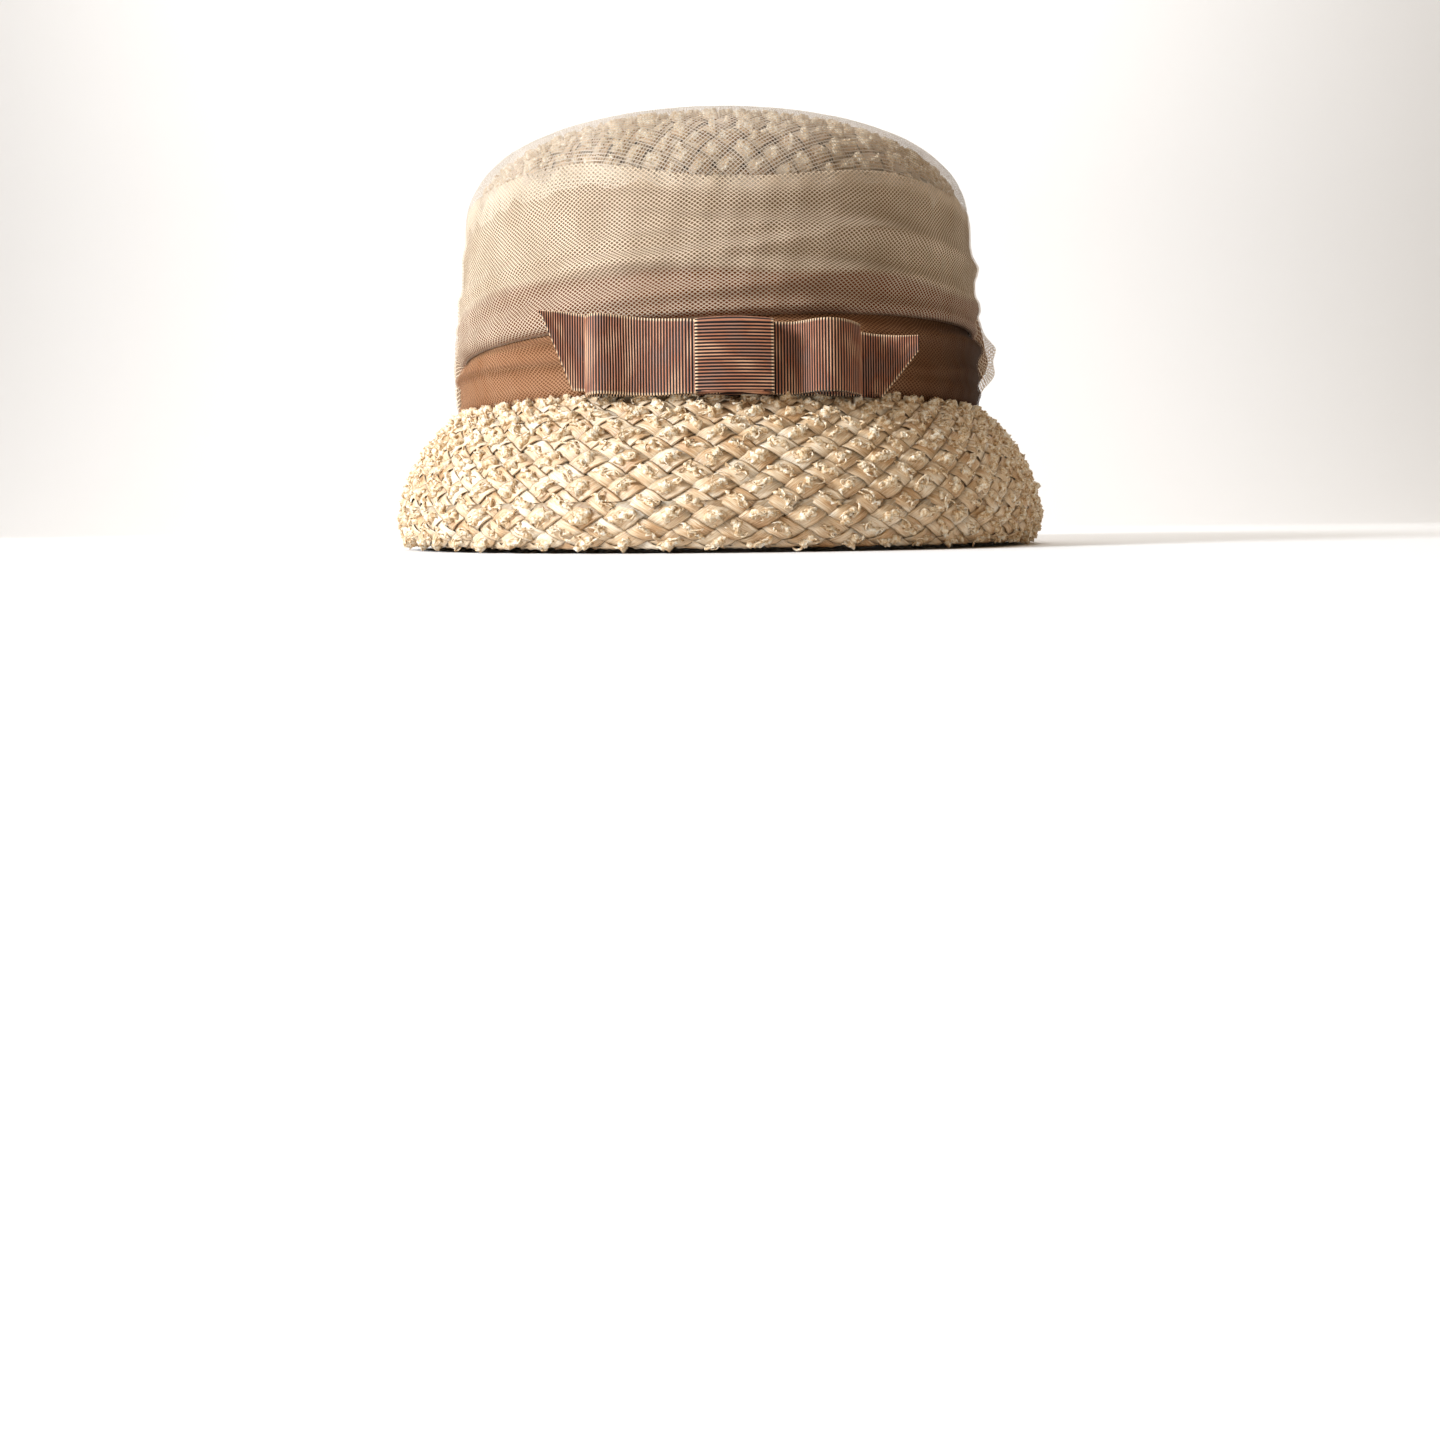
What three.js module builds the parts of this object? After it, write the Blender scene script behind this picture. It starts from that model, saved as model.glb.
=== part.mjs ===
// A woman's straw cloche hat, resting on its rim, front towards -Y and +Z up.
// A blocked crown of plaited straw is sewn into a bell-shaped straw brim. A veil of fine net is stretched
// over the crown's top, a gathered band of brown net runs round its foot, and a gathered swathe of cream net
// lies over the edges of both. A flat bow of ribbed ribbon sits on the brown band at the front.
// All lengths are in millimetres. The origin is the middle of the rim, on the surface that the hat rests on.
import * as THREE from "three";

// Head opening and straw
const headWidth = 168; // inside the crown, ear to ear
const headDepth = 190; // inside the crown, front to back
const strawWall = 2.2;
const seatGap = 0.3; // between pieces that touch in the real hat

// Brim
const headlineHeight = 41; // from the rim up to where brim and crown meet
const brimSpread = 26; // how far the brim stands out from the crown's outer surface
const brimWall = 2.4;
const collarDepth = 4; // the crown's edge is sewn inside the brim for this depth
const curlHeight = 9; // the widest line's height above the rim
const curlDepth = 6; // how far the edge turns in below the widest line
const hemWall = 5; // the edge is turned under, so it is doubled
const hemHeight = 14;
const rimFlat = 2.6; // width of the face that the hat rests on

// Crown
const crownRise = 92; // from the headline to the top of the straw
const crownTaper = 2.2; // how much narrower each side is where the shoulder starts
const shoulderRise = 33.5;
const shoulderFullness = 2.55; // 2 is an ellipse, more is squarer

// Net over the crown
const veilLift = 0.5; // the net bridges the straw's knots
const veilWall = 1;
const veilHem = 36; // the veil's lower edge, above the headline
const bandWall = 3.8; // gathered brown net where it shows
const bandFoldDepth = 1;
const bandTuck = 1.2; // the same net where the swathe covers it
const bandShown = 22; // height of brown net that shows at the front
const bandTuckHeight = 11; // brown net under the swathe
const swatheWall = 1.3;
const swatheHeight = 36;
const swatheFoldDepth = 1.9;
const swathePuff = 2.6; // how far the loose net at the back stands out

// Bow
const ribbonWidth = 21.5;
const ribbonWall = 1;
const leftLoop = 41; // from the middle of the knot to the loop's end
const rightLoop = 36;
const loopFullness = 3.4; // how far a loop's front stands off its back, besides the ribbon
const knotWidth = 22;
const leftTail = 60; // from the middle of the knot to the tail's upper corner
const rightTail = 57;
const tailSlant = 11.5; // how much shorter a tail's lower edge is
const leftTailLift = 2.5; // the left tail's end is pinned this much higher

// Values that follow from the dimensions above
const halfWidth = headWidth / 2 + strawWall; // of the crown's outer surface at the headline
const halfDepth = headDepth / 2 + strawWall;
const meanHalf = (halfWidth + halfDepth) / 2;
const crownTop = headlineHeight + crownRise;
const shoulderFoot = crownTop - shoulderRise;
const crownFoot = headlineHeight - collarDepth;
const shoulderShare = 1 - crownTaper / halfWidth;
const bandFoot = headlineHeight + seatGap;
const bandEdge = bandFoot + bandShown; // where the swathe's edge crosses the brown net at the front
const bandTop = bandEdge + bandTuckHeight;
const veilFoot = headlineHeight + veilHem;
const swatheTop = bandEdge + swatheHeight;
const netSeat = Math.max(bandTuck + seatGap, veilLift + veilWall) + seatGap; // the swathe's inner face
const bandSeat = seatGap + bandWall; // the brown net's outer face, without its folds
const around = 48; // facets round the head

// Folds of the gathered net. front and back are the crest's height as a share of the piece's height there,
// sway is how far the crest wanders up and down, crest is its depth and spread its half width, as shares.
const bandFolds = [
  { front: 0.12, back: 0.16, sway: 0.03, turns: 2, crest: 0.6, spread: 0.12 },
  { front: 0.5, back: 0.44, sway: 0.05, turns: 1, crest: 1, spread: 0.2 },
  { front: 0.82, back: 0.78, sway: 0.03, turns: 3, crest: 0.7, spread: 0.13 },
];
const swatheFolds = [
  { front: 0.1, back: 0.12, sway: 0.02, turns: 3, crest: 1, spread: 0.1 },
  { front: 0.35, back: 0.36, sway: 0.03, turns: 2, crest: 0.9, spread: 0.12 },
  { front: 0.66, back: 0.62, sway: 0.05, turns: 1, crest: 0.5, spread: 0.14 },
];
// Where the two loose lobes of net stand out at the back, as shares of the swathe's height there.
const backLobes = [
  { height: 0.22, crest: 1, spread: 0.17 },
  { height: 0.55, crest: 0.55, spread: 0.13 },
];

const smooth = (low, high, value) => {
  const t = Math.min(1, Math.max(0, (value - low) / (high - low)));
  return t * t * (3 - 2 * t);
};
const mix = (low, high, t) => low + (high - low) * t;
const steps = (count) => Array.from({ length: count + 1 }, (_, i) => i / count);

// A point on an oval round the head. theta is 0 at the front and grows towards +X, share shrinks the crown's
// own oval, and out is a distance added to it.
function ovalPoint(theta, share, out, z) {
  const x = (halfWidth * share + out) * Math.sin(theta);
  const y = -(halfDepth * share + out) * Math.cos(theta);
  return new THREE.Vector3(x, y, z);
}

// A closed solid from a grid of points. Each row of the grid is one cross-section. Rows join round into a ring
// unless ends is true, when the first and last are closed with a fan. A row joins its own ends unless it runs
// from pole to pole.
function solidFromGrid(grid, { ends = false, poles = false } = {}) {
  const index = new Map();
  const positions = [];
  const vertexOf = (p) => {
    const key = [p.x, p.y, p.z].map((v) => Math.round(v * 1e4)).join();
    if (!index.has(key)) {
      index.set(key, positions.length / 3);
      positions.push(p.x, p.y, p.z);
    }
    return index.get(key);
  };
  const rows = grid.map((row) => row.map(vertexOf));
  const triangles = [];
  const add = (a, b, c) => {
    if (a !== b && b !== c && c !== a) triangles.push([a, b, c]);
  };
  const across = rows[0].length;
  const lastRow = ends ? rows.length - 1 : rows.length;
  const lastPoint = poles ? across - 1 : across;
  for (let i = 0; i < lastRow; i++) {
    const here = rows[i];
    const next = rows[(i + 1) % rows.length];
    for (let j = 0; j < lastPoint; j++) {
      const k = (j + 1) % across;
      add(here[j], next[j], next[k]);
      add(here[j], next[k], here[k]);
    }
  }
  if (ends) {
    const first = rows[0];
    const last = rows[rows.length - 1];
    for (let j = 1; j < across - 1; j++) {
      add(first[0], first[j], first[j + 1]);
      add(last[0], last[j + 1], last[j]);
    }
  }
  const at = (i) => new THREE.Vector3().fromArray(positions, i * 3);
  const volume = triangles.reduce((sum, [a, b, c]) => sum + at(a).dot(at(b).cross(at(c))), 0);
  if (volume < 0) triangles.forEach((t) => t.reverse());
  const geometry = new THREE.BufferGeometry();
  geometry.setAttribute("position", new THREE.Float32BufferAttribute(positions, 3));
  geometry.setIndex(triangles.flat());
  geometry.computeVertexNormals();
  return geometry;
}

// The same cross-section function at every angle round the head.
function ringSolid(sectionAt, options) {
  const rows = [];
  for (let i = 0; i < around; i++) rows.push(sectionAt((2 * Math.PI * i) / around));
  return solidFromGrid(rows, options);
}

// The crown's outer profile. t runs from 0 at its lower edge through 1 where the shoulder starts to 2 at the
// top: a straight tapering wall, then a superellipse. Returns the oval's share and the height.
function crownProfile(t) {
  if (t <= 1) {
    const z = mix(crownFoot, shoulderFoot, t);
    const up = Math.max(0, (z - headlineHeight) / (shoulderFoot - headlineHeight));
    return { share: mix(1, shoulderShare, up), z };
  }
  const turn = ((t - 1) * Math.PI) / 2;
  const power = 2 / shoulderFullness;
  return {
    share: t >= 2 ? 0 : shoulderShare * Math.cos(turn) ** power,
    z: shoulderFoot + shoulderRise * Math.sin(turn) ** power,
  };
}

// A point of a layer that lies a distance out along the normal of the crown's profile.
function layerPoint(theta, t, distance) {
  const step = 0.004;
  const before = crownProfile(Math.max(0, t - step));
  const after = crownProfile(Math.min(2, t + step));
  const rise = after.z - before.z;
  const inward = (before.share - after.share) * meanHalf;
  const length = Math.hypot(rise, inward);
  const { share, z } = crownProfile(t);
  const out = share === 0 ? 0 : (distance * rise) / length;
  const lift = share === 0 ? distance : (distance * inward) / length;
  return ovalPoint(theta, share, out, z + lift);
}

const profileAtHeight = (z) => (z - crownFoot) / (shoulderFoot - crownFoot);
const shoulderSteps = [0, 0.12, 0.26, 0.42, 0.58, 0.74, 0.88, 1].map((s) => 1 + s);

// The plaited crown: a wall from its sewn edge up and over the top.
function crownGeometry() {
  const line = [0, profileAtHeight(headlineHeight), 0.55, ...shoulderSteps];
  return ringSolid(
    (theta) => [
      ...[...line].reverse().map((t) => layerPoint(theta, t, 0)),
      ...line.map((t) => layerPoint(theta, t, -strawWall)),
    ],
    { poles: true },
  );
}

// How far the brim's outer face stands out from the crown at a height, as a bell: a superellipse from the
// collar to the widest line, and a quarter ellipse that turns the edge in below it.
function brimReach(z) {
  const collar = seatGap + brimWall;
  if (z < curlHeight) {
    return brimSpread - curlDepth * (1 - Math.sqrt(Math.max(0, 1 - (1 - z / curlHeight) ** 2)));
  }
  const up = Math.min(1, (z - curlHeight) / (headlineHeight - curlHeight));
  return collar + (brimSpread - collar) * (1 - up ** 1.7) ** (1 / 1.6);
}

// A point of the brim's inner face: the wall's thickness in from the outer face, along its normal.
function brimInner(z) {
  const step = 0.05;
  const high = Math.min(headlineHeight, z + step);
  const out = brimReach(z - step) - brimReach(high);
  const rise = high - (z - step);
  const wall = mix(hemWall, brimWall, smooth(hemHeight, hemHeight + hemWall - brimWall, z));
  const length = Math.hypot(out, rise);
  return [brimReach(z) - (wall * rise) / length, z - (wall * out) / length];
}

// The brim: the outer bell, the flat that it rests on, the doubled hem inside, and the collar round the crown.
function brimGeometry() {
  const bell = [1, 0.985, 0.94, 0.86, 0.74, 0.6, 0.45, 0.3, 0.15, 0];
  const curl = [0.6, 0.3, 0.1, 0];
  const outer = [
    ...bell.map((up) => mix(curlHeight, headlineHeight, up)),
    ...curl.map((up) => curlHeight * up),
  ].map((z) => [brimReach(z), z]);
  const hem = [0.45, 1].map((up) => [brimReach(curlHeight * up) - hemWall, curlHeight * up]);
  const inside = [0.16, 0.27, 0.4, 0.55, 0.7, 0.84, 0.94, 0.985];
  const inner = [
    [brimReach(0) - rimFlat, 0],
    ...hem,
    ...inside.map((up) => brimInner(mix(curlHeight, headlineHeight, up))),
    [seatGap, headlineHeight - brimWall],
    [seatGap, headlineHeight],
  ];
  const section = [...outer, ...inner];
  return ringSolid((theta) => section.map(([out, z]) => ovalPoint(theta, 1, out, z)));
}

// Depth of a piece's folds at an angle and at a share of its height: rounded crests that wander as they go
// round the head.
function foldDepth(folds, theta, up) {
  const back = (1 - Math.cos(theta)) / 2;
  return folds.reduce((depth, fold) => {
    const height = mix(fold.front, fold.back, back) + fold.sway * Math.sin(fold.turns * theta);
    return Math.max(depth, fold.crest * Math.exp(-(((up - height) / fold.spread) ** 2)));
  }, 0);
}

// The net lies flat behind the bow. Beyond the tails it is gathered.
const bowHalfAngle = Math.max(leftTail, rightTail) / halfDepth;
const gathered = (theta) => smooth(0.75, 1.15, Math.acos(Math.cos(theta)) / bowHalfAngle);

// Distance from the crown to the brown band's outer face.
function bandReach(theta, z) {
  const up = (z - bandFoot) / bandShown;
  const folds = bandFoldDepth * gathered(theta) * foldDepth(bandFolds, theta, up);
  return mix(bandSeat + folds, seatGap + bandTuck, smooth(0.74, 0.9, up));
}

function bandGeometry() {
  const shown = [0, 0.06, 0.14, 0.28, 0.4, 0.52, 0.64, 0.74, 0.79, 0.85, 0.9];
  const heights = [...shown.map((up) => mix(bandFoot, bandEdge, up)), bandTop];
  const inner = [bandTop, mix(bandFoot, bandTop, 0.5), bandFoot];
  return ringSolid((theta) => [
    ...heights.map((z) => layerPoint(theta, profileAtHeight(z), bandReach(theta, z))),
    ...inner.map((z) => layerPoint(theta, profileAtHeight(z), seatGap)),
  ]);
}

// The veil is one layer of net over the top of the crown.
function veilGeometry() {
  const line = [profileAtHeight(veilFoot), mix(profileAtHeight(veilFoot), 1, 0.5), ...shoulderSteps];
  return ringSolid(
    (theta) => [
      ...[...line].reverse().map((t) => layerPoint(theta, t, veilLift + veilWall)),
      ...line.map((t) => layerPoint(theta, t, veilLift)),
    ],
    { poles: true },
  );
}

// The swathe's lower edge runs level round the front and sides, and drops to the headline at the back, where
// its loose ends hang over the brown band.
const atBack = (theta) => smooth(0.55, 0.72, Math.acos(Math.cos(theta)) / Math.PI);
const swatheFoot = (theta) => mix(bandEdge + seatGap, bandFoot + bandTuckHeight * 0.3, atBack(theta));

function swatheSeat(z) {
  const overBand = bandSeat + bandFoldDepth + seatGap;
  return mix(overBand, netSeat, smooth(0.86, 1, (z - bandFoot) / bandShown));
}

function swatheReach(theta, z) {
  const up = (z - swatheFoot(theta)) / (swatheTop - swatheFoot(theta));
  const folds = swatheFoldDepth * foldDepth(swatheFolds, theta, up);
  const lobes = backLobes.reduce(
    (depth, lobe) => depth + lobe.crest * Math.exp(-(((up - lobe.height) / lobe.spread) ** 2)),
    0,
  );
  const edge = smooth(0, 0.06, up) * smooth(1, 0.9, up);
  return swatheSeat(z) + swatheWall + edge * mix(folds, swathePuff * lobes, atBack(theta));
}

function swatheGeometry() {
  const overBand = [0.16, 0.34, 0.52, 0.7, 0.86, 0.93, 1].map((up) => mix(bandFoot, bandEdge, up));
  const above = steps(12).map((up) => mix(bandEdge + seatGap, swatheTop, up));
  const heights = [...overBand, ...above];
  return ringSolid((theta) => {
    const held = heights.map((z) => Math.max(z, swatheFoot(theta)));
    const faceAt = (reach) => held.map((z) => layerPoint(theta, profileAtHeight(z), reach(z)));
    return [...faceAt((z) => swatheReach(theta, z)), ...faceAt(swatheSeat).reverse()];
  });
}

// A point beside the bow's middle: along is a distance round the crown's front, out is how far the point
// stands off the crown. The oval's angle for a distance is found by walking along it.
function bowPoint(along, out, z) {
  const strides = 60;
  const { share } = crownProfile(profileAtHeight(z));
  let theta = 0;
  for (let i = 0; i < strides; i++) {
    const across = (halfWidth * share + out) * Math.cos(theta);
    const away = (halfDepth * share + out) * Math.sin(theta);
    theta += along / strides / Math.hypot(across, away);
  }
  return ovalPoint(theta, share, out, z);
}

// The layers of the bow, counted out from the band.
const knotBack = bandSeat + seatGap;
const tailBack = knotBack + ribbonWall + seatGap;
const loopBack = tailBack + ribbonWall + seatGap;
const loopFront = loopBack + ribbonWall + seatGap;
const knotFront = loopFront + ribbonWall + seatGap;
const ribbonFoot = headlineHeight + seatGap + ribbonWall + seatGap;
const ribbonTop = ribbonFoot + ribbonWidth;

// The tails: one strip behind the loops, cut on a slant at each end.
function tailsGeometry() {
  const places = [
    ...steps(5).map((s) => mix(-leftTail, -leftTail + tailSlant, s)),
    ...steps(8).map((s) => mix(-leftTail + tailSlant, rightTail - tailSlant, s)).slice(1, -1),
    ...steps(5).map((s) => mix(rightTail - tailSlant, rightTail, s)),
  ];
  const settle = bandSeat + bandFoldDepth + seatGap; // where a tail's end lies on the gathered net
  const tip = 0.04; // the share of the ribbon's width that is left at a tail's corner
  return solidFromGrid(
    places.map((along) => {
      const reach = along < 0 ? leftTail : rightTail;
      const beyond = Math.abs(along) / reach;
      const lift = along < 0 ? leftTailLift * smooth(knotWidth / 2 / reach, 1, beyond) : 0;
      const cut = Math.max(0, (Math.abs(along) - (reach - tailSlant)) / tailSlant);
      const low = ribbonFoot + lift + ribbonWidth * Math.min(cut, 1 - tip);
      const high = ribbonTop + lift;
      const back = mix(tailBack, settle, smooth(0.5, 1, beyond));
      return [
        bowPoint(along, back, low),
        bowPoint(along, back, high),
        bowPoint(along, back + ribbonWall, high),
        bowPoint(along, back + ribbonWall, low),
      ];
    }),
    { ends: true },
  );
}

// The loops: one closed ring of ribbon, flat behind, full in front and round at the ends.
function loopsGeometry() {
  const crestShare = 0.62; // where a loop is fullest
  const frontAt = (along) => {
    const reach = along < 0 ? leftLoop : rightLoop;
    const start = knotWidth / 2 / reach;
    const beyond = Math.abs(along) / reach;
    const rise = smooth(start, crestShare, beyond) * (1 - 0.35 * smooth(crestShare, 1, beyond));
    return loopFront + loopFullness * rise;
  };
  const line = [];
  const halfTurn = (reach, side) => {
    const end = reach * side;
    const back = loopBack;
    const front = frontAt(end);
    const radius = (front + ribbonWall - back) / 2;
    for (const s of steps(6)) {
      const turn = Math.PI * (s - 0.5) * side;
      const along = end - side * radius + side * radius * Math.cos(turn);
      const outerOut = back + radius + radius * Math.sin(turn);
      const innerAlong = end - side * radius + side * (radius - ribbonWall) * Math.cos(turn);
      const innerOut = back + radius + (radius - ribbonWall) * Math.sin(turn);
      line.push({ outer: [along, outerOut], inner: [innerAlong, innerOut] });
    }
    return radius;
  };
  const endRadius = (reach, side) => (frontAt(reach * side) + ribbonWall - loopBack) / 2;
  const rightStart = rightLoop - endRadius(rightLoop, 1);
  const leftStart = leftLoop - endRadius(leftLoop, -1);
  halfTurn(rightLoop, 1);
  for (const s of steps(20).slice(1, -1)) {
    const along = mix(rightStart, -leftStart, s);
    const out = frontAt(along);
    line.push({ outer: [along, out + ribbonWall], inner: [along, out] });
  }
  halfTurn(leftLoop, -1);
  for (const s of steps(8).slice(1, -1)) {
    const along = mix(-leftStart, rightStart, s);
    line.push({ outer: [along, loopBack], inner: [along, loopBack + ribbonWall] });
  }
  return solidFromGrid(
    line.map(({ outer, inner }) => [
      bowPoint(outer[0], outer[1], ribbonFoot),
      bowPoint(outer[0], outer[1], ribbonTop),
      bowPoint(inner[0], inner[1], ribbonTop),
      bowPoint(inner[0], inner[1], ribbonFoot),
    ]),
  );
}

// The knot: a short length of ribbon wrapped round the middle of loops and tails.
function knotGeometry() {
  const inside = { back: knotBack + ribbonWall, front: knotFront, low: ribbonFoot, high: ribbonTop };
  inside.low -= seatGap;
  inside.high += seatGap;
  const corner = (out, z, side, up) => ({
    inner: [out, z],
    outer: [out + side * ribbonWall, z + up * ribbonWall],
  });
  const wrap = [
    corner(inside.back, inside.low, -1, -1),
    corner(inside.front, inside.low, 1, -1),
    corner(inside.front, inside.high, 1, 1),
    corner(inside.back, inside.high, -1, 1),
  ];
  const places = steps(6).map((s) => mix(-knotWidth / 2, knotWidth / 2, s));
  return solidFromGrid(
    wrap.map(({ inner, outer }) => [
      ...places.map((along) => bowPoint(along, outer[0], outer[1])),
      ...[...places].reverse().map((along) => bowPoint(along, inner[0], inner[1])),
    ]),
  );
}

const straw = { color: 0xd9bf93, roughness: 0.6, metalness: 0 };
const creamNet = { color: 0xd8bfa2, roughness: 0.85, metalness: 0 };
const brownNet = { color: 0x83573d, roughness: 0.85, metalness: 0 };
const ribbon = { color: 0x6f4a3c, roughness: 0.5, metalness: 0 };

const hat = new THREE.Group();
const pieces = [
  ["crown", crownGeometry, straw],
  ["brim", brimGeometry, straw],
  ["net_veil", veilGeometry, creamNet],
  ["net_swathe", swatheGeometry, creamNet],
  ["net_band", bandGeometry, brownNet],
  ["bow_tails", tailsGeometry, ribbon],
  ["bow_loops", loopsGeometry, ribbon],
  ["bow_knot", knotGeometry, ribbon],
];
for (const [name, geometryOf, finish] of pieces) {
  const mesh = new THREE.Mesh(geometryOf(), new THREE.MeshStandardMaterial(finish));
  mesh.name = name;
  hat.add(mesh);
}

export default hat;
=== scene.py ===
import math

import bpy
import numpy as np
from mathutils import Euler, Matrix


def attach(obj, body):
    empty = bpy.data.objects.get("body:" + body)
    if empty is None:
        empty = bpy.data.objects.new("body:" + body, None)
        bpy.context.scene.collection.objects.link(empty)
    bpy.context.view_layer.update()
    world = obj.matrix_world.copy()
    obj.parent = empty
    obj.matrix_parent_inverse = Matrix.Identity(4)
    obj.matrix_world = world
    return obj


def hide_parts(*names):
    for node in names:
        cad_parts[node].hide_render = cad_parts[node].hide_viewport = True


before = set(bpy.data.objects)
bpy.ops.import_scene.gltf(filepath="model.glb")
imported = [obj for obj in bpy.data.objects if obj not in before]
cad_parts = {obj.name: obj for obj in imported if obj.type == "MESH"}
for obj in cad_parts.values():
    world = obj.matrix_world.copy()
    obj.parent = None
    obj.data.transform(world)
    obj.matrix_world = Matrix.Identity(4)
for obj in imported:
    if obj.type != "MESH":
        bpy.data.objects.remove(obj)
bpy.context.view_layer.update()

# Camera: close by and low, with the hat in the upper half of the picture and the bow a little right of the
# hat's middle.
MM = 0.001
CAMERA_DISTANCE = 455 * MM
CAMERA_HEIGHT = 8 * MM
CAMERA_AZIMUTH = math.radians(-2.4)
CAMERA_PITCH = math.radians(9.03)
CAMERA_YAW = math.radians(0.07)
CAMERA_ROLL = math.radians(-0.6)
FOCAL_SHARE = 1240 / 1440  # focal length as a share of the picture's width

camera_data = bpy.data.cameras.new("camera")
camera_data.sensor_width = 36
camera_data.lens = 36 * FOCAL_SHARE
camera_data.clip_start = 0.01
camera = bpy.data.objects.new("camera", camera_data)
camera.location = (
    CAMERA_DISTANCE * math.sin(CAMERA_AZIMUTH),
    -CAMERA_DISTANCE * math.cos(CAMERA_AZIMUTH),
    CAMERA_HEIGHT,
)
view_turn = Euler((math.pi / 2 - CAMERA_PITCH, 0, CAMERA_AZIMUTH + CAMERA_YAW), "XYZ").to_matrix()
camera.rotation_euler = (view_turn @ Euler((0, 0, CAMERA_ROLL)).to_matrix()).to_euler()
bpy.context.collection.objects.link(camera)
bpy.context.scene.camera = camera

# Crown: blocked from flat straw strips, plaited over and under on the bias. Each strip carries a slub of
# crimped thread along its middle, which shows as a lump wherever the strip comes to the top.
rng = np.random.default_rng(27)
HALF_WIDTH = 86.2 * MM  # of the crown's outer face at the headline
HALF_DEPTH = 97.2 * MM
MEAN_HALF = (HALF_WIDTH + HALF_DEPTH) / 2
HEADLINE = 41 * MM
CROWN_TOP = 133.3 * MM
FLARE_TOP = 41.6 * MM  # from here down the crown's foot turns out, to lie under the brim
FLARE = 8 * MM
CROWN_FOOT = 38.2 * MM
SHOULDER_RISE = 34.0 * MM
SHOULDER_FOOT = CROWN_TOP - SHOULDER_RISE
SHOULDER_FULLNESS = 2.68
SHOULDER_SHARE = 1 - 2.2 * MM / HALF_WIDTH


def smooth(low, high, value):
    """Cubic step: 0 below low, 1 above high, 3t^2 - 2t^3 between."""
    t = np.clip((np.asarray(value, float) - low) / (high - low), 0, 1)
    return t * t * (3 - 2 * t)


def mesh_piece(name, points, faces, uv=None, wrap=None, attributes=None):
    """A mesh object from an array of points and a list of face index arrays, with one uv pair per point. On a
    face that crosses a seam, where u falls from wrap back to 0, wrap is added to the low values."""
    mesh = bpy.data.meshes.new(name)
    flat = np.concatenate([np.asarray(f).ravel() for f in faces]).astype(np.int32)
    sizes = np.concatenate([np.full(len(f), np.asarray(f).shape[1]) for f in faces]).astype(np.int32)
    starts = np.concatenate([[0], np.cumsum(sizes)[:-1]]).astype(np.int32)
    mesh.vertices.add(len(points))
    mesh.vertices.foreach_set("co", np.asarray(points, np.float32).ravel())
    mesh.loops.add(len(flat))
    mesh.loops.foreach_set("vertex_index", flat)
    mesh.polygons.add(len(sizes))
    mesh.polygons.foreach_set("loop_start", starts)
    mesh.polygons.foreach_set("loop_total", sizes)
    mesh.polygons.foreach_set("use_smooth", np.ones(len(sizes), bool))
    if uv is not None:
        corners = []
        for f in faces:
            corner = np.array(uv, np.float32)[f]
            if wrap:
                u = corner[..., 0]
                crosses = (u.max(1) - u.min(1) > wrap / 2)[:, None] & (u < wrap / 2)
                corner[..., 0] = u + wrap * crosses
            corners.append(corner.reshape(-1))
        mesh.uv_layers.new(name="weave").data.foreach_set("uv", np.concatenate(corners))
    for key, values in (attributes or {}).items():
        mesh.attributes.new(key, "FLOAT", "POINT").data.foreach_set("value", np.asarray(values, np.float32))
    mesh.update()
    mesh.validate()
    piece = bpy.data.objects.new(name, mesh)
    bpy.context.collection.objects.link(piece)
    return piece


def grid_faces(rows, columns, close_rows=False, close_columns=False, start=0):
    """Quads that join a grid of rows x columns points, optionally wrapping either way round."""
    i = np.arange(rows if close_rows else rows - 1)
    j = np.arange(columns if close_columns else columns - 1)
    i, j = (a.ravel() for a in np.meshgrid(i, j, indexing="ij"))
    k, l = (i + 1) % rows, (j + 1) % columns
    return start + np.stack([i * columns + j, i * columns + l, k * columns + l, k * columns + j], 1)


def tube_faces(count, rings, sides):
    """Faces of count tubes of rings x sides points each, one after another, with a flat cap on each end."""
    one = grid_faces(rings, sides, close_columns=True)
    offsets = (np.arange(count) * rings * sides)[:, None, None]
    quads = (one[None] + offsets).reshape(-1, 4)
    first = np.arange(sides)[::-1]
    last = (rings - 1) * sides + np.arange(sides)
    caps = np.concatenate([(first[None] + offsets[:, 0]), (last[None] + offsets[:, 0])])
    return [quads, caps]


class Profile:
    """The outline of a layer round the head, from its start to its end: share of the crown's oval, distance
    added to it, and height, at even steps of length measured on the mean oval."""

    def __init__(self, share, out, z, steps=400):
        reach = share * MEAN_HALF + out
        length = np.concatenate([[0], np.cumsum(np.hypot(np.diff(reach), np.diff(z)))])
        self.s = np.linspace(0, length[-1], steps)
        self.share = np.interp(self.s, length, share)
        self.out = np.interp(self.s, length, out)
        self.z = np.interp(self.s, length, z)
        self.reach = self.share * MEAN_HALF + self.out
        turn_r, turn_z = np.gradient(self.reach, self.s), np.gradient(self.z, self.s)
        size = np.hypot(turn_r, turn_z)
        self.normal_r, self.normal_z = -turn_z / size, turn_r / size

    def point(self, theta, s, height):
        """The oval's point at angle theta (0 at the front, growing towards +X), length s along the profile,
        lifted by height along the profile's normal."""
        share, out, z, nr, nz = (
            np.interp(s, self.s, a) for a in (self.share, self.out, self.z, self.normal_r, self.normal_z)
        )
        out = out + height * nr
        x = (HALF_WIDTH * share + out) * np.sin(theta)
        y = -(HALF_DEPTH * share + out) * np.cos(theta)
        return np.stack([x, y, z + height * nz], -1)


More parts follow.
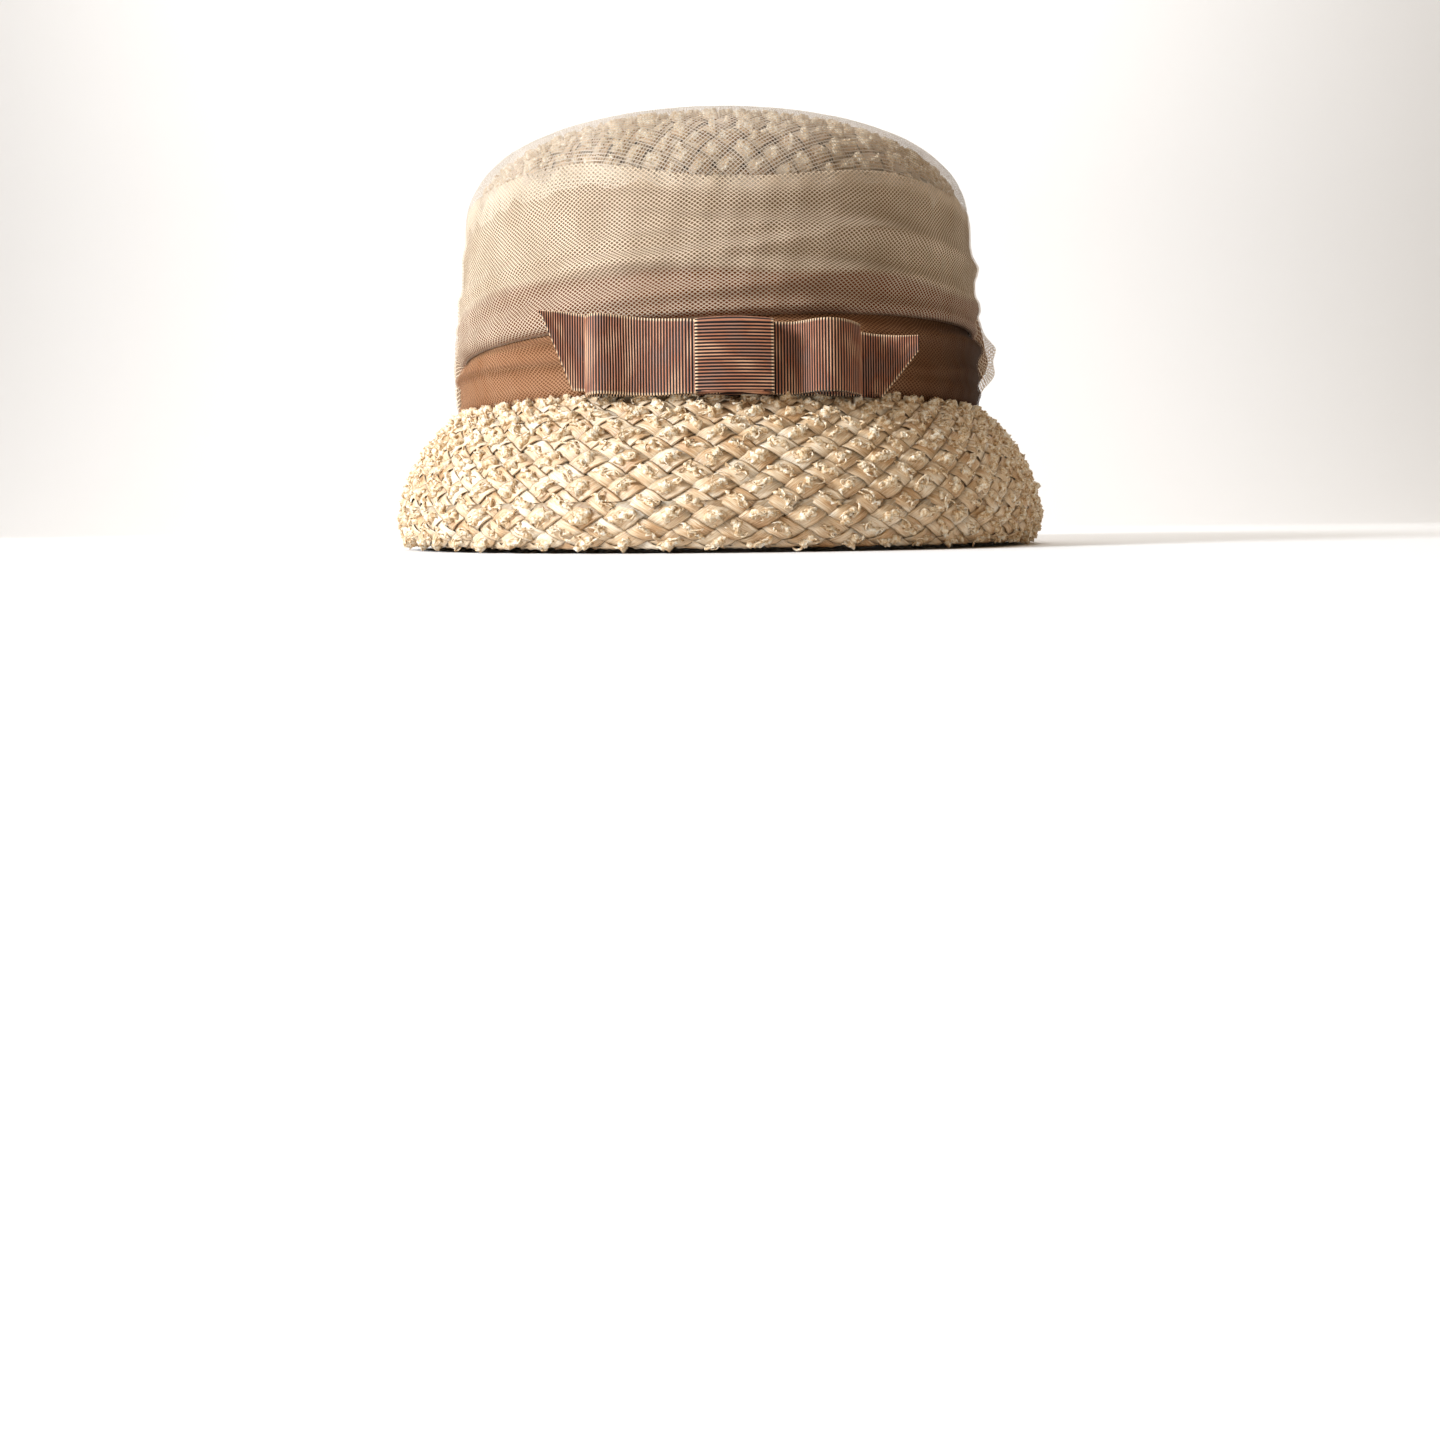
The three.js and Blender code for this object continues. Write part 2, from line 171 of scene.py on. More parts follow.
def crown_outline():
    """From the pole down: a quarter superellipse, a straight wall that widens to the headline, and a foot
    that turns out by FLARE t^1.3, where t runs from 0 to 1 below FLARE_TOP."""
    turn = np.linspace(0, math.pi / 2, 300)
    power = 2 / SHOULDER_FULLNESS
    share = SHOULDER_SHARE * np.sin(turn) ** power
    z = SHOULDER_FOOT + SHOULDER_RISE * np.cos(turn) ** power
    wall = np.linspace(SHOULDER_FOOT, CROWN_FOOT, 120)[1:]
    widen = 1 - np.clip((wall - HEADLINE) / (SHOULDER_FOOT - HEADLINE), 0, 1)
    share = np.concatenate([share, SHOULDER_SHARE + (1 - SHOULDER_SHARE) * widen])
    z = np.concatenate([z, wall])
    out = FLARE * np.clip((FLARE_TOP - z) / (FLARE_TOP - CROWN_FOOT), 0, 1) ** 1.3
    return Profile(share, out, z)


crown_line = crown_outline()

# A strip's cross-section: place across it, from -1 to 1, and height over its edges, in millimetres.
STRIP_SECTION = np.array(
    [(-1, 0.05), (-0.8, 0.17), (-0.2, 0.26), (0.2, 0.26), (0.8, 0.17), (1, 0.05), (0.6, -0.06), (-0.6, -0.06)]
)
STRIP_SHARE = 0.487  # half of a strip's width, as a share of the spacing of strips
WEAVE_HEIGHT = 0.55 * MM  # how far a strip rises over and dips under the middle of the plait
SLUB_GIRTH = 1.6 * MM
SLUB_SIDES = 5


def weave_wave(k):
    """1 where a strip is over and -1 where it is under, with flat tops: a cosine raised to 0.5."""
    c = np.cos(math.pi * k)
    return np.sign(c) * np.abs(c) ** 0.5


class SpiralPlait:
    """Two families of strips that wind round the head in opposite directions. The strips of one family are
    the lines a = whole number, those of the other b = whole number, at angle pi (a + b) / count and at the
    length where the winding turn, the sum of ds / (reach tan angle), is pi (b - a) / count."""

    def __init__(self, line, base, count, angle, s_from, s_to):
        self.line, self.base, self.count = line, base, count
        self.girth, self.share = SLUB_GIRTH, STRIP_SHARE
        turn = np.concatenate([[0], np.cumsum(np.diff(line.s) / (line.reach[1:] * math.tan(angle)))])
        self.turn = turn - np.interp(s_from, line.s, turn)
        self.rows = np.interp(s_to, line.s, self.turn) * count / math.pi

    def point(self, a, b, height):
        """The place of lattice coordinates a, b at a height over the plait's middle. Lumps that would come
        below the floor are pressed flat on it."""
        s = np.interp((b - a) * math.pi / self.count, self.turn, self.line.s)
        place = self.line.point(math.pi * (a + b) / self.count, s, self.base + height)
        place[..., 2] = np.maximum(place[..., 2], 0)
        return place

    def strip_runs(self):
        """For each strip: its whole number, and the first and last crossing on it."""
        n = np.arange(self.count)
        return n, np.zeros(self.count), np.full(self.count, self.rows)


TIP_PRESSED = 0.8 * MM  # the most that lumps on the tip stand over the crown's outer face, under the net


class FlatPlait:
    """Square plait laid over the crown's tip, as if on a flat disc whose radius is the length from the pole.
    Its slubs are thicker and its strips narrower, so small holes show where four strips meet."""

    def __init__(self, line, base, pitch, s_to):
        self.line, self.base, self.pitch, self.s_to = line, base, pitch, s_to
        self.girth, self.share = 1.3 * SLUB_GIRTH, 0.89 * STRIP_SHARE

    def point(self, a, b, height):
        """The place of a, b: on the disc at u = (b - a) pitch / sqrt 2 and v = (a + b) pitch / sqrt 2. The
        height is at most TIP_PRESSED, because the net is stretched over the lumps."""
        u, v = (b - a) * self.pitch / math.sqrt(2), (a + b) * self.pitch / math.sqrt(2)
        s = np.minimum(np.hypot(u, v), self.s_to)
        return self.line.point(np.arctan2(v, -u), s, np.minimum(self.base + height, TIP_PRESSED))

    def strip_runs(self):
        """For each strip: its whole number n, and its ends at -+ sqrt((s_to / pitch)^2 - n^2)."""
        reach = int(self.s_to / self.pitch)
        n = np.arange(-reach, reach + 1)
        half = np.sqrt(np.maximum((self.s_to / self.pitch) ** 2 - n**2, 0.3))
        return n, -half, half


def plait_strips(plait, steps_per_crossing):
    """Points, faces, uv and wave of all strips: each is a flat lens-shaped section carried along its lattice
    line, over and under by weave_wave. uv is (crossing number, place across), shifted by 8 for each strip."""
    numbers, first, last = plait.strip_runs()
    rings = int(np.max(last - first) * steps_per_crossing) + 2
    along = np.linspace(0, 1, rings)[None, :, None]
    n = numbers[:, None, None].astype(float)
    k = first[:, None, None] + (last - first)[:, None, None] * along
    across = STRIP_SECTION[None, None, :, 0]
    rise = STRIP_SECTION[None, None, :, 1] * MM
    width = plait.share * (1 + rng.normal(0, 0.03, (2, len(numbers), rings, 1)))
    sway = rng.normal(0, 0.05, (2, len(numbers), 1, 1)) * np.sin(k * 1.7 + numbers[:, None, None])
    points, uvs, waves = [], [], []
    spiral = isinstance(plait, SpiralPlait)
    for family in (0, 1):
        wave = weave_wave(k if spiral else k - n) * (1 if family == 0 else -1)
        side = width[family] * across + sway[family]
        if family == 0:
            a, b = n + side, (n + k if spiral else k) + 0 * side
        else:
            a, b = (n - k if spiral else k) + 0 * side, n + side
        crown_share = 0.55 + 0.45 * wave
        height = wave * WEAVE_HEIGHT + rise * crown_share
        height = height - 0.35 * MM * (1 - np.abs(wave)) * np.abs(across) ** 2
        points.append(plait.point(a, b, height).reshape(-1, 3))
        u = np.broadcast_to(k + n * 8 + family * 3.7, height.shape)
        v = np.broadcast_to(across * 0.5 + 0.5, height.shape)
        uvs.append(np.stack([u, v], -1).reshape(-1, 2))
        waves.append(np.broadcast_to(wave, height.shape).ravel())
    faces = tube_faces(2 * len(numbers), rings, len(STRIP_SECTION))
    return np.concatenate(points), faces, np.concatenate(uvs), np.concatenate(waves)


CROSSING = 8 * MM  # width of one crossing, for sizes across a strip


def slub_tubes(plait, crossings, along, across, height, radius, rough):
    """Tubes whose middle lines are given on the over strip of each crossing, as shares of the crossing along
    and across it and a height. Each ring is a circle of the radius times a random 1 +- rough."""
    a0, b0, a_over = crossings
    rings = along.shape[1]
    sides = SLUB_SIDES
    turn = np.linspace(0, 2 * math.pi, sides, endpoint=False)[None, None, :]
    knobs = radius[:, :, None] * rng.uniform(1 - rough, 1 + rough, (len(a0), rings, sides))
    side_on = across[:, :, None] + knobs * np.cos(turn) / CROSSING
    lift = height[:, :, None] + knobs * np.sin(turn)
    along = along[:, :, None] + 0 * side_on
    over = a_over[:, None, None]
    a = a0[:, None, None] + np.where(over, side_on, along)
    b = b0[:, None, None] + np.where(over, along, side_on)
    return plait.point(a, b, lift).reshape(-1, 3)


def slub_cores(plait, crossings, rings):
    """The lump itself: a short worm along the strip's middle, thickest at its own middle, whose line and
    girth jump about from ring to ring. Lumps on the b strips are thicker than those on the a strips."""
    count = len(crossings[0])
    run = np.linspace(-1, 1, rings)[None, :]
    along = run * rng.uniform(0.38, 0.56, (count, 1)) + rng.normal(0, 0.05, (count, 1))
    across = rng.normal(0, 0.06, (count, rings)) + rng.normal(0, 0.1, (count, 1)) * run
    taper = np.sqrt(np.clip(1 - np.abs(run) ** 3, 0.03, 1))
    size = rng.uniform(0.7, 1.2, (count, 1)) * plait.girth * np.where(crossings[2], 0.8, 1.08)[:, None]
    radius = size * taper * rng.uniform(0.6, 1.25, (count, rings))
    height = WEAVE_HEIGHT + 0.1 * MM + 0.1 * radius + 0.25 * MM * rng.normal(0, 1, (count, rings)) * taper
    return slub_tubes(plait, crossings, along, across, height, radius, 0.25)


def slub_loops(plait, crossings, rings):
    """A stray end of the thread that curls over the lump: part of a flat coil in along and across, drawn out
    along the strip and raised in the middle by half a sine."""
    count = len(crossings[0])
    run = np.linspace(0, 1, rings)[None, :]
    coil = 2 * math.pi * (run * rng.uniform(0.35, 0.9, (count, 1)) + rng.random((count, 1)))
    along = rng.uniform(-0.34, 0.34, (count, 1)) + rng.uniform(0.06, 0.18, (count, 1)) * np.sin(coil)
    along = along + rng.uniform(-0.6, 0.6, (count, 1)) * (run - 0.5)
    across = rng.uniform(-0.16, 0.16, (count, 1)) + rng.uniform(0.06, 0.22, (count, 1)) * np.cos(coil)
    arch = rng.uniform(0.2, 1.1, (count, 1)) * MM * np.sin(math.pi * run)
    height = WEAVE_HEIGHT + 0.6 * MM + arch + rng.normal(0, 0.12 * MM, (count, rings))
    radius = rng.uniform(0.22, 0.44, (count, 1)) * MM * rng.uniform(0.75, 1.25, (count, rings))
    return slub_tubes(plait, crossings, along, across, height, radius, 0.12)


def slub_piece(name, maker, plait, crossings, rings, repeats=1):
    """One tube, or several, from the maker on every over-crossing, as one piece."""
    crossings = [np.tile(c, repeats) for c in crossings]
    return mesh_piece(name, maker(plait, crossings, rings), tube_faces(len(crossings[0]), rings, SLUB_SIDES))


def spiral_crossings(plait, k_from, k_to):
    """All crossings of a spiral plait between two rows: a strips are over in even rows."""
    k = np.arange(math.ceil(k_from), math.floor(k_to) + 1)
    a, k = (x.ravel() for x in np.meshgrid(np.arange(plait.count), k, indexing="ij"))
    return a.astype(float), (a + k).astype(float), k % 2 == 0


def flat_crossings(plait, s_to):
    """All crossings of a flat plait with hypot(a, b) pitch < s_to: a strips are over where b - a is even."""
    reach = int(s_to / plait.pitch)
    n = np.arange(-reach, reach + 1)
    a, b = (x.ravel() for x in np.meshgrid(n, n, indexing="ij"))
    keep = np.hypot(a, b) * plait.pitch < s_to
    a, b = a[keep], b[keep]
    return a.astype(float), b.astype(float), (b - a) % 2 == 0


def shader(name, roughness=0.5):
    """A new material with a Principled shader: the material, its nodes, its links and the shader."""
    material = bpy.data.materials.new(name)
    material.use_nodes = True
    nodes, links = material.node_tree.nodes, material.node_tree.links
    principled = nodes["Principled BSDF"]
    principled.inputs["Roughness"].default_value = roughness
    return material, nodes, links, principled


def colour(hex_text):
    """Linear colour from an sRGB hex code."""
    s = np.array([int(hex_text[i : i + 2], 16) for i in (0, 2, 4)]) / 255
    return (*np.where(s <= 0.04045, s / 12.92, ((s + 0.055) / 1.055) ** 2.4), 1.0)


def node(nodes, kind, **settings):
    """A new node with the settings given; names in capitals set an input's default."""
    made = nodes.new(kind)
    for key, value in settings.items():
        if key[0].isupper():
            made.inputs[key.replace("_", " ")].default_value = value
        else:
            setattr(made, key, value)
    return made


def ramp(nodes, stops):
    """A colour ramp from (place, hex colour) pairs."""
    made = nodes.new("ShaderNodeValToRGB")
    elements = made.color_ramp.elements
    while len(elements) < len(stops):
        elements.new(0.5)
    for element, (place, code) in zip(elements, stops):
        element.position = place
        element.color = colour(code)
    return made


def straw_material():
    """Satin straw: fine lengthwise fibres on the strip's own uv, a tone that changes along each strip, and
    painted shade: darker straw where the strip dives under, from the attribute wave (1 over, -1 under)."""
    material, nodes, links, principled = shader("straw_strip", 0.38)
    uv = node(nodes, "ShaderNodeUVMap", uv_map="weave")
    stretch = node(nodes, "ShaderNodeMapping", Scale=(1.6, 22, 1))
    links.new(uv.outputs["UV"], stretch.inputs["Vector"])
    fibres = node(nodes, "ShaderNodeTexNoise", Scale=1.0, Detail=5.0, Roughness=0.7)
    links.new(stretch.outputs["Vector"], fibres.inputs["Vector"])
    tone = node(nodes, "ShaderNodeTexNoise", Scale=0.7, Detail=1.0)
    links.new(uv.outputs["UV"], tone.inputs["Vector"])
    mix = node(nodes, "ShaderNodeMath", operation="MULTIPLY_ADD")
    mix.inputs[1].default_value = 1.5
    links.new(fibres.outputs["Fac"], mix.inputs[0])
    links.new(tone.outputs["Fac"], mix.inputs[2])
    scaled = node(nodes, "ShaderNodeMapRange")
    scaled.inputs["From Min"].default_value = 0.7
    scaled.inputs["From Max"].default_value = 1.75
    links.new(mix.outputs["Value"], scaled.inputs["Value"])
    shades = ramp(nodes, [(0.1, "92643a"), (0.34, "c69c6e"), (0.56, "e4c8a2"), (0.8, "fbeed8")])
    links.new(scaled.outputs["Result"], shades.inputs["Fac"])
    # Painted shade: the straw darkens where the strip dives under its neighbour.
    wave = node(nodes, "ShaderNodeAttribute", attribute_name="wave")
    depth = node(nodes, "ShaderNodeMapRange")
    depth.inputs["From Min"].default_value = -0.5
    depth.inputs["From Max"].default_value = 0.8
    depth.inputs["To Min"].default_value = 0.6
    links.new(wave.outputs["Fac"], depth.inputs["Value"])
    painted_shade = node(nodes, "ShaderNodeVectorMath", operation="SCALE")
    links.new(shades.outputs["Color"], painted_shade.inputs[0])
    links.new(depth.outputs["Result"], painted_shade.inputs["Scale"])
    links.new(painted_shade.outputs["Vector"], principled.inputs["Base Color"])
    bump = node(nodes, "ShaderNodeBump", Strength=0.5, Distance=0.0004)
    links.new(fibres.outputs["Fac"], bump.inputs["Height"])
    links.new(bump.outputs["Normal"], principled.inputs["Normal"])
    principled.inputs["Specular IOR Level"].default_value = 0.6
    return material


def slub_material():
    """Crimped thread: cream and softly shiny, with patches of tan and fine crumpling, both on object
    coordinates."""
    material, nodes, links, principled = shader("straw_slub", 0.52)
    place = node(nodes, "ShaderNodeTexCoord")
    tone = node(nodes, "ShaderNodeTexNoise", Scale=800.0, Detail=4.0, Roughness=0.7)
    links.new(place.outputs["Object"], tone.inputs["Vector"])
    shades = ramp(nodes, [(0.34, "a87e50"), (0.45, "d6b68a"), (0.54, "ecd9ba"), (0.66, "fcf5e6")])
    links.new(tone.outputs["Fac"], shades.inputs["Fac"])
    links.new(shades.outputs["Color"], principled.inputs["Base Color"])
    crumple = node(nodes, "ShaderNodeTexVoronoi", Scale=1500.0)
    links.new(place.outputs["Object"], crumple.inputs["Vector"])
    bump = node(nodes, "ShaderNodeBump", Strength=0.6, Distance=0.0004)
    links.new(crumple.outputs["Distance"], bump.inputs["Height"])
    links.new(bump.outputs["Normal"], principled.inputs["Normal"])
    principled.inputs["Specular IOR Level"].default_value = 0.45
    return material


straw = straw_material()
slub = slub_material()

TIP_REACH = 112 * MM  # the tip's plait runs from the pole over the shoulder to here
TIP_PITCH = 7.0 * MM
# Painted shade: TIP_SHADE darkens the tip's straw, standing in for the shade of the net over it.
TIP_SHADE = 0.5  # taken off the tip's wave, which darkens its straw
PLAIT_INSET = -1.7 * MM  # of the plait's middle, in from the crown's outer face
SIDE_COUNT = 52  # strips in each family of the side's plait
SIDE_ANGLE = math.radians(34)  # of those strips, to the level
tip_plait = FlatPlait(crown_line, PLAIT_INSET, TIP_PITCH, TIP_REACH)
points, faces, uv, wave = plait_strips(tip_plait, 3)
crown_tip = mesh_piece("crown_tip_plait", points, faces, uv, attributes={"wave": wave - TIP_SHADE})
crown_tip.data.materials.append(straw)

side_from, side_to = TIP_REACH - 4 * MM, crown_line.s[-1]
side_plait = SpiralPlait(crown_line, PLAIT_INSET, SIDE_COUNT, SIDE_ANGLE, side_from, side_to)
points, faces, uv, wave = plait_strips(side_plait, 2)
crown_side = mesh_piece("crown_side_plait", points, faces, uv, attributes={"wave": wave})
crown_side.data.materials.append(straw)

tip_over = flat_crossings(tip_plait, TIP_REACH - 5 * MM)
crown_slubs = slub_piece("crown_slubs", slub_cores, tip_plait, tip_over, 8)
crown_loops = slub_piece("crown_slub_loops", slub_loops, tip_plait, tip_over, 9)
for piece in (crown_slubs, crown_loops):
    piece.data.materials.append(slub)

for piece in (crown_tip, crown_side, crown_slubs, crown_loops):
    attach(piece, "root")
    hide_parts("crown")

# Brim: the same plait, blocked into a bell. Its edge is turned under and sewn down inside, and its upper edge
# is thick with knobs.
BRIM_SPREAD = 26 * MM  # of the brim's widest part, out from the crown at the headline
CURL_HEIGHT = 9 * MM  # from here down the edge turns in
CURL_DEPTH = 6 * MM  # how far it turns in
COLLAR = 2.9 * MM  # of the brim's upper edge, out from the crown at the headline
COLLAR_RISE = 4.0 * MM  # of the plait's first row over the headline
HEM_WALL = 4.2 * MM  # from the brim's outer face to the turned-under layer
HEM_HEIGHT = 14 * MM


def brim_outline():
    """The outer bell from the headline down, a quarter ellipse that turns the edge in, and the layer that is
    turned under and runs back up inside."""
    up = np.linspace(1, 0, 160)
    bell = COLLAR + (BRIM_SPREAD - COLLAR) * (1 - up**1.7) ** (1 / 1.32)
    bell_z = CURL_HEIGHT + (HEADLINE + COLLAR_RISE - CURL_HEIGHT) * up
    turn = np.linspace(0, math.pi / 2, 30)[1:]
    curl = BRIM_SPREAD - CURL_DEPTH * (1 - np.cos(turn))
    curl_z = CURL_HEIGHT * (1 - np.sin(turn))
    back = np.linspace(0, 1, 30)[1:]
    hem_z = HEM_HEIGHT * back
    hem = BRIM_SPREAD - CURL_DEPTH - HEM_WALL * 0.62 * np.sin(np.minimum(back * 6, math.pi / 2))
    hem = hem + CURL_DEPTH * 0.72 * np.sin(back * math.pi / 2) ** 1.2
    out = np.concatenate([bell, curl, hem])
    z = np.concatenate([bell_z, curl_z, hem_z])
    return Profile(np.ones_like(z), out, z)


brim_line = brim_outline()
BRIM_COUNT = 56
BRIM_INSET = -2.0 * MM
brim_plait = SpiralPlait(brim_line, BRIM_INSET, BRIM_COUNT, math.radians(33), 0, brim_line.s[-1])
points, faces, uv, wave = plait_strips(brim_plait, 4)
brim_strips = mesh_piece("brim_plait", points, faces, uv, attributes={"wave": wave})
brim_strips.data.materials.append(straw)

brim_over = spiral_crossings(brim_plait, 0, brim_plait.rows - 4)
brim_slubs = slub_piece("brim_slubs", slub_cores, brim_plait, brim_over, 10)
brim_loops = slub_piece("brim_slub_loops", slub_loops, brim_plait, brim_over, 10, 2)
brim_ends = slub_piece("brim_slub_ends", slub_loops, brim_plait, brim_over, 9)
brim_top = slub_piece("brim_top_slubs", slub_cores, brim_plait, spiral_crossings(brim_plait, 0, 1), 10, 2)
for piece in (brim_slubs, brim_loops, brim_ends, brim_top):
    piece.data.materials.append(slub)

for piece in (brim_strips, brim_slubs, brim_loops, brim_ends, brim_top):
    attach(piece, "root")
    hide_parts("brim")

# Net over the crown: one layer of fine cream net, stretched over the top. It bridges the straw's lumps and
# stands off a little at the shoulder. Its edge is caught under the swathe.
NET_CELL = 0.92 * MM
NET_TILT = math.radians(34)  # of the threads, to the net's length


def net_material(name, thread_codes, under_code, tint_code, open_share, dense_share, roughness=0.75):
    """Diamond net: two families of threads on the uv map, in metres. A thread covers open_share of each cell,
    or dense_share where the attribute dense is 1, and nothing is drawn between threads. Where dense is 1
    the threads also take the colour under_code: painted shade, of net that lies under the layers over it. The
    attribute tint blends in tint_code: on the swathe, the brown its clear threads take from the band behind
    them; on the band's right front, painted shade."""
    material, nodes, links, principled = shader(name, roughness)
    uv = node(nodes, "ShaderNodeUVMap", uv_map="weave")
    split = node(nodes, "ShaderNodeSeparateXYZ")
    links.new(uv.outputs["UV"], split.inputs["Vector"])
    dense = node(nodes, "ShaderNodeAttribute", attribute_name="dense")
    share = node(nodes, "ShaderNodeMath", operation="MULTIPLY_ADD")
    share.inputs[1].default_value = dense_share - open_share
    share.inputs[2].default_value = open_share
    links.new(dense.outputs["Fac"], share.inputs[0])
    limit = node(nodes, "ShaderNodeMath", operation="SUBTRACT")
    limit.inputs[0].default_value = 1.0
    links.new(share.outputs["Value"], limit.inputs[1])
    masks = []
    for turn in (1, -1):
        run = node(nodes, "ShaderNodeMath", operation="MULTIPLY")
        run.inputs[1].default_value = math.sin(NET_TILT) * turn / NET_CELL
        links.new(split.outputs["X"], run.inputs[0])
        rise = node(nodes, "ShaderNodeMath", operation="MULTIPLY_ADD")
        rise.inputs[1].default_value = math.cos(NET_TILT) / NET_CELL
        links.new(split.outputs["Y"], rise.inputs[0])
        links.new(run.outputs["Value"], rise.inputs[2])
        saw = node(nodes, "ShaderNodeMath", operation="PINGPONG")
        saw.inputs[1].default_value = 0.5
        links.new(rise.outputs["Value"], saw.inputs[0])
        double = node(nodes, "ShaderNodeMath", operation="MULTIPLY")
        double.inputs[1].default_value = 2.0
        links.new(saw.outputs["Value"], double.inputs[0])
        on = node(nodes, "ShaderNodeMath", operation="GREATER_THAN")
        links.new(double.outputs["Value"], on.inputs[0])
        links.new(limit.outputs["Value"], on.inputs[1])
        masks.append(on)
    either = node(nodes, "ShaderNodeMath", operation="MAXIMUM")
    links.new(masks[0].outputs["Value"], either.inputs[0])
    links.new(masks[1].outputs["Value"], either.inputs[1])
    place = node(nodes, "ShaderNodeTexCoord")
    cloud = node(nodes, "ShaderNodeTexNoise", Scale=60.0, Detail=3.0)
    links.new(place.outputs["Object"], cloud.inputs["Vector"])
    shades = ramp(nodes, list(zip((0.3, 0.7), thread_codes)))
    links.new(cloud.outputs["Fac"], shades.inputs["Fac"])
    shaded = node(nodes, "ShaderNodeMix", data_type="RGBA")
    shaded.inputs[7].default_value = colour(under_code)
    links.new(dense.outputs["Fac"], shaded.inputs["Factor"])
    links.new(shades.outputs["Color"], shaded.inputs[6])
    tint = node(nodes, "ShaderNodeAttribute", attribute_name="tint")
    tinted = node(nodes, "ShaderNodeMix", data_type="RGBA")
    tinted.inputs[7].default_value = colour(tint_code)
    links.new(tint.outputs["Fac"], tinted.inputs["Factor"])
    links.new(shaded.outputs[2], tinted.inputs[6])
    links.new(tinted.outputs[2], principled.inputs["Base Color"])
    links.new(either.outputs["Value"], principled.inputs["Alpha"])
    principled.inputs["Specular IOR Level"].default_value = 0.08
    return material


VEIL_REACH = 128 * MM  # length from the pole to the veil's edge
VEIL_LIFT = 1.0 * MM  # off the crown's outer face, down to where the swathe presses it close
SHOULDER_LIFT = 1.6 * MM  # more, over the shoulder
SHOULDER_PLACE = 88 * MM  # of that lift's middle, in length from the pole
SHOULDER_SPREAD = 17 * MM
PULL_DEPTH = 0.15 * MM


def veil_surface(columns, rings):
    """A dome over the crown, lifted by VEIL_LIFT, by SHOULDER_LIFT exp(-t^2) more, where t is
    (s - SHOULDER_PLACE) / SHOULDER_SPREAD, and by shallow pulls that fan out from there. uv is laid flat from
    the pole."""
    theta = np.linspace(0, 2 * math.pi, columns, endpoint=False)[None, :]
    s = (np.linspace(0.02, 1, rings) ** 0.9 * VEIL_REACH)[:, None]
    shoulder = np.exp(-(((s - SHOULDER_PLACE) / SHOULDER_SPREAD) ** 2))
    pulls = np.sin(23 * theta + 2 * np.sin(3 * theta)) + 0.6 * np.sin(41 * theta)
    lift = SHOULDER_LIFT * shoulder + PULL_DEPTH * smooth(60 * MM, 110 * MM, s) * pulls
    lift = lift + VEIL_LIFT * smooth(122 * MM, 104 * MM, s)
    points = crown_line.point(theta, s, lift)
    uv = np.stack([s * np.sin(theta), -s * np.cos(theta)], -1)
    faces = grid_faces(rings, columns, close_columns=True)
    pole = np.array([[0, 0, CROWN_TOP + VEIL_LIFT]])
    column = np.arange(columns)
    cap = np.stack([np.full(columns, rings * columns), (column + 1) % columns, column], 1)
    return (
        np.concatenate([points.reshape(-1, 3), pole]),
        [faces[:, ::-1], cap[:, ::-1]],
        np.concatenate([uv.reshape(-1, 2), [[0, 0]]]),
    )


veil_net = net_material("veil_net", ("b0a08c", "ccbcaa"), "c9b59c", "c9b59c", 0.27, 0.27)
points, faces, uv = veil_surface(288, 70)
plain = np.zeros(len(points))
veil = mesh_piece("net_veil_sheet", points, faces, uv, attributes={"dense": plain, "tint": plain})
veil.data.materials.append(veil_net)
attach(veil, "root")
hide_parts("net_veil")

# Brown net band: folded lengthwise, gathered by hand and tacked round the crown's foot. Its upper edge runs
# on under the swathe, where it shows through.
CELLS_ROUND = 357  # a whole number of net cells round the hat, so the net's pattern joins at its seam
CIRCUMFERENCE = CELLS_ROUND * NET_CELL / math.sin(NET_TILT)
EDGE_FRONT = 64.4 * MM  # height of the swathe's lower edge behind the bow
EDGE_RIGHT = 4.6 * MM  # how much higher it is on the right
EDGE_LEFT = 3.2 * MM  # how much lower it is on the left


def edge_height(theta):
    """Height of the swathe's lower edge: EDGE_FRONT + EDGE_RIGHT max(sin theta, 0) - EDGE_LEFT
    max(-sin theta, 0)."""
    right = np.maximum(np.sin(theta), 0)
    left = np.maximum(-np.sin(theta), 0)
    return EDGE_FRONT + EDGE_RIGHT * right - EDGE_LEFT * left


def ridges(theta, up, folds):
    """Sum of rounded crests: each at height h + slope sin(theta) + sway sin(turns theta + phase) as a share
    of the layer's height, with a half width, a depth, and a window of angles where it shows."""
    total = np.zeros(np.broadcast(theta, up).shape)
    for height, slope, sway, turns, phase, spread, depth, middle, reach in folds:
        place = height + slope * np.sin(theta) + sway * np.sin(turns * theta + phase)
        away = np.arccos(np.clip(np.cos(theta - middle), -1, 1))
        total += depth * smooth(reach, reach * 0.5, away) * np.exp(-(((up - place) / spread) ** 2))
    return total


def height_to_length(z):
    """Length along the crown's outline for a height on its wall."""
    order = np.argsort(crown_line.z)
    return np.interp(z, crown_line.z[order], crown_line.s[order])


def net_ring(columns, sections):
    """A closed ring of net from a function of the angles that gives, for each point of the cross-section, its
    height, its distance from the crown, and its dense and tint values. uv is length round and over."""
    theta = np.linspace(0, 2 * math.pi, columns, endpoint=False)[:, None]
    z, out, dense, tint = sections(theta)
    points = crown_line.point(theta + 0 * z, height_to_length(z), out)
    steps = np.hypot(np.diff(z, axis=1), np.diff(out, axis=1))
    over = np.concatenate([np.zeros((columns, 1)), np.cumsum(steps, axis=1)], 1)
    uv = np.stack([theta / (2 * math.pi) * CIRCUMFERENCE + 0 * z, over], -1)
    faces = grid_faces(columns, z.shape[1], close_rows=True, close_columns=True)
    shade = {"dense": (dense + 0 * z).ravel(), "tint": (tint + 0 * z).ravel()}
    return points.reshape(-1, 3), [faces], uv.reshape(-1, 2), CIRCUMFERENCE, shade


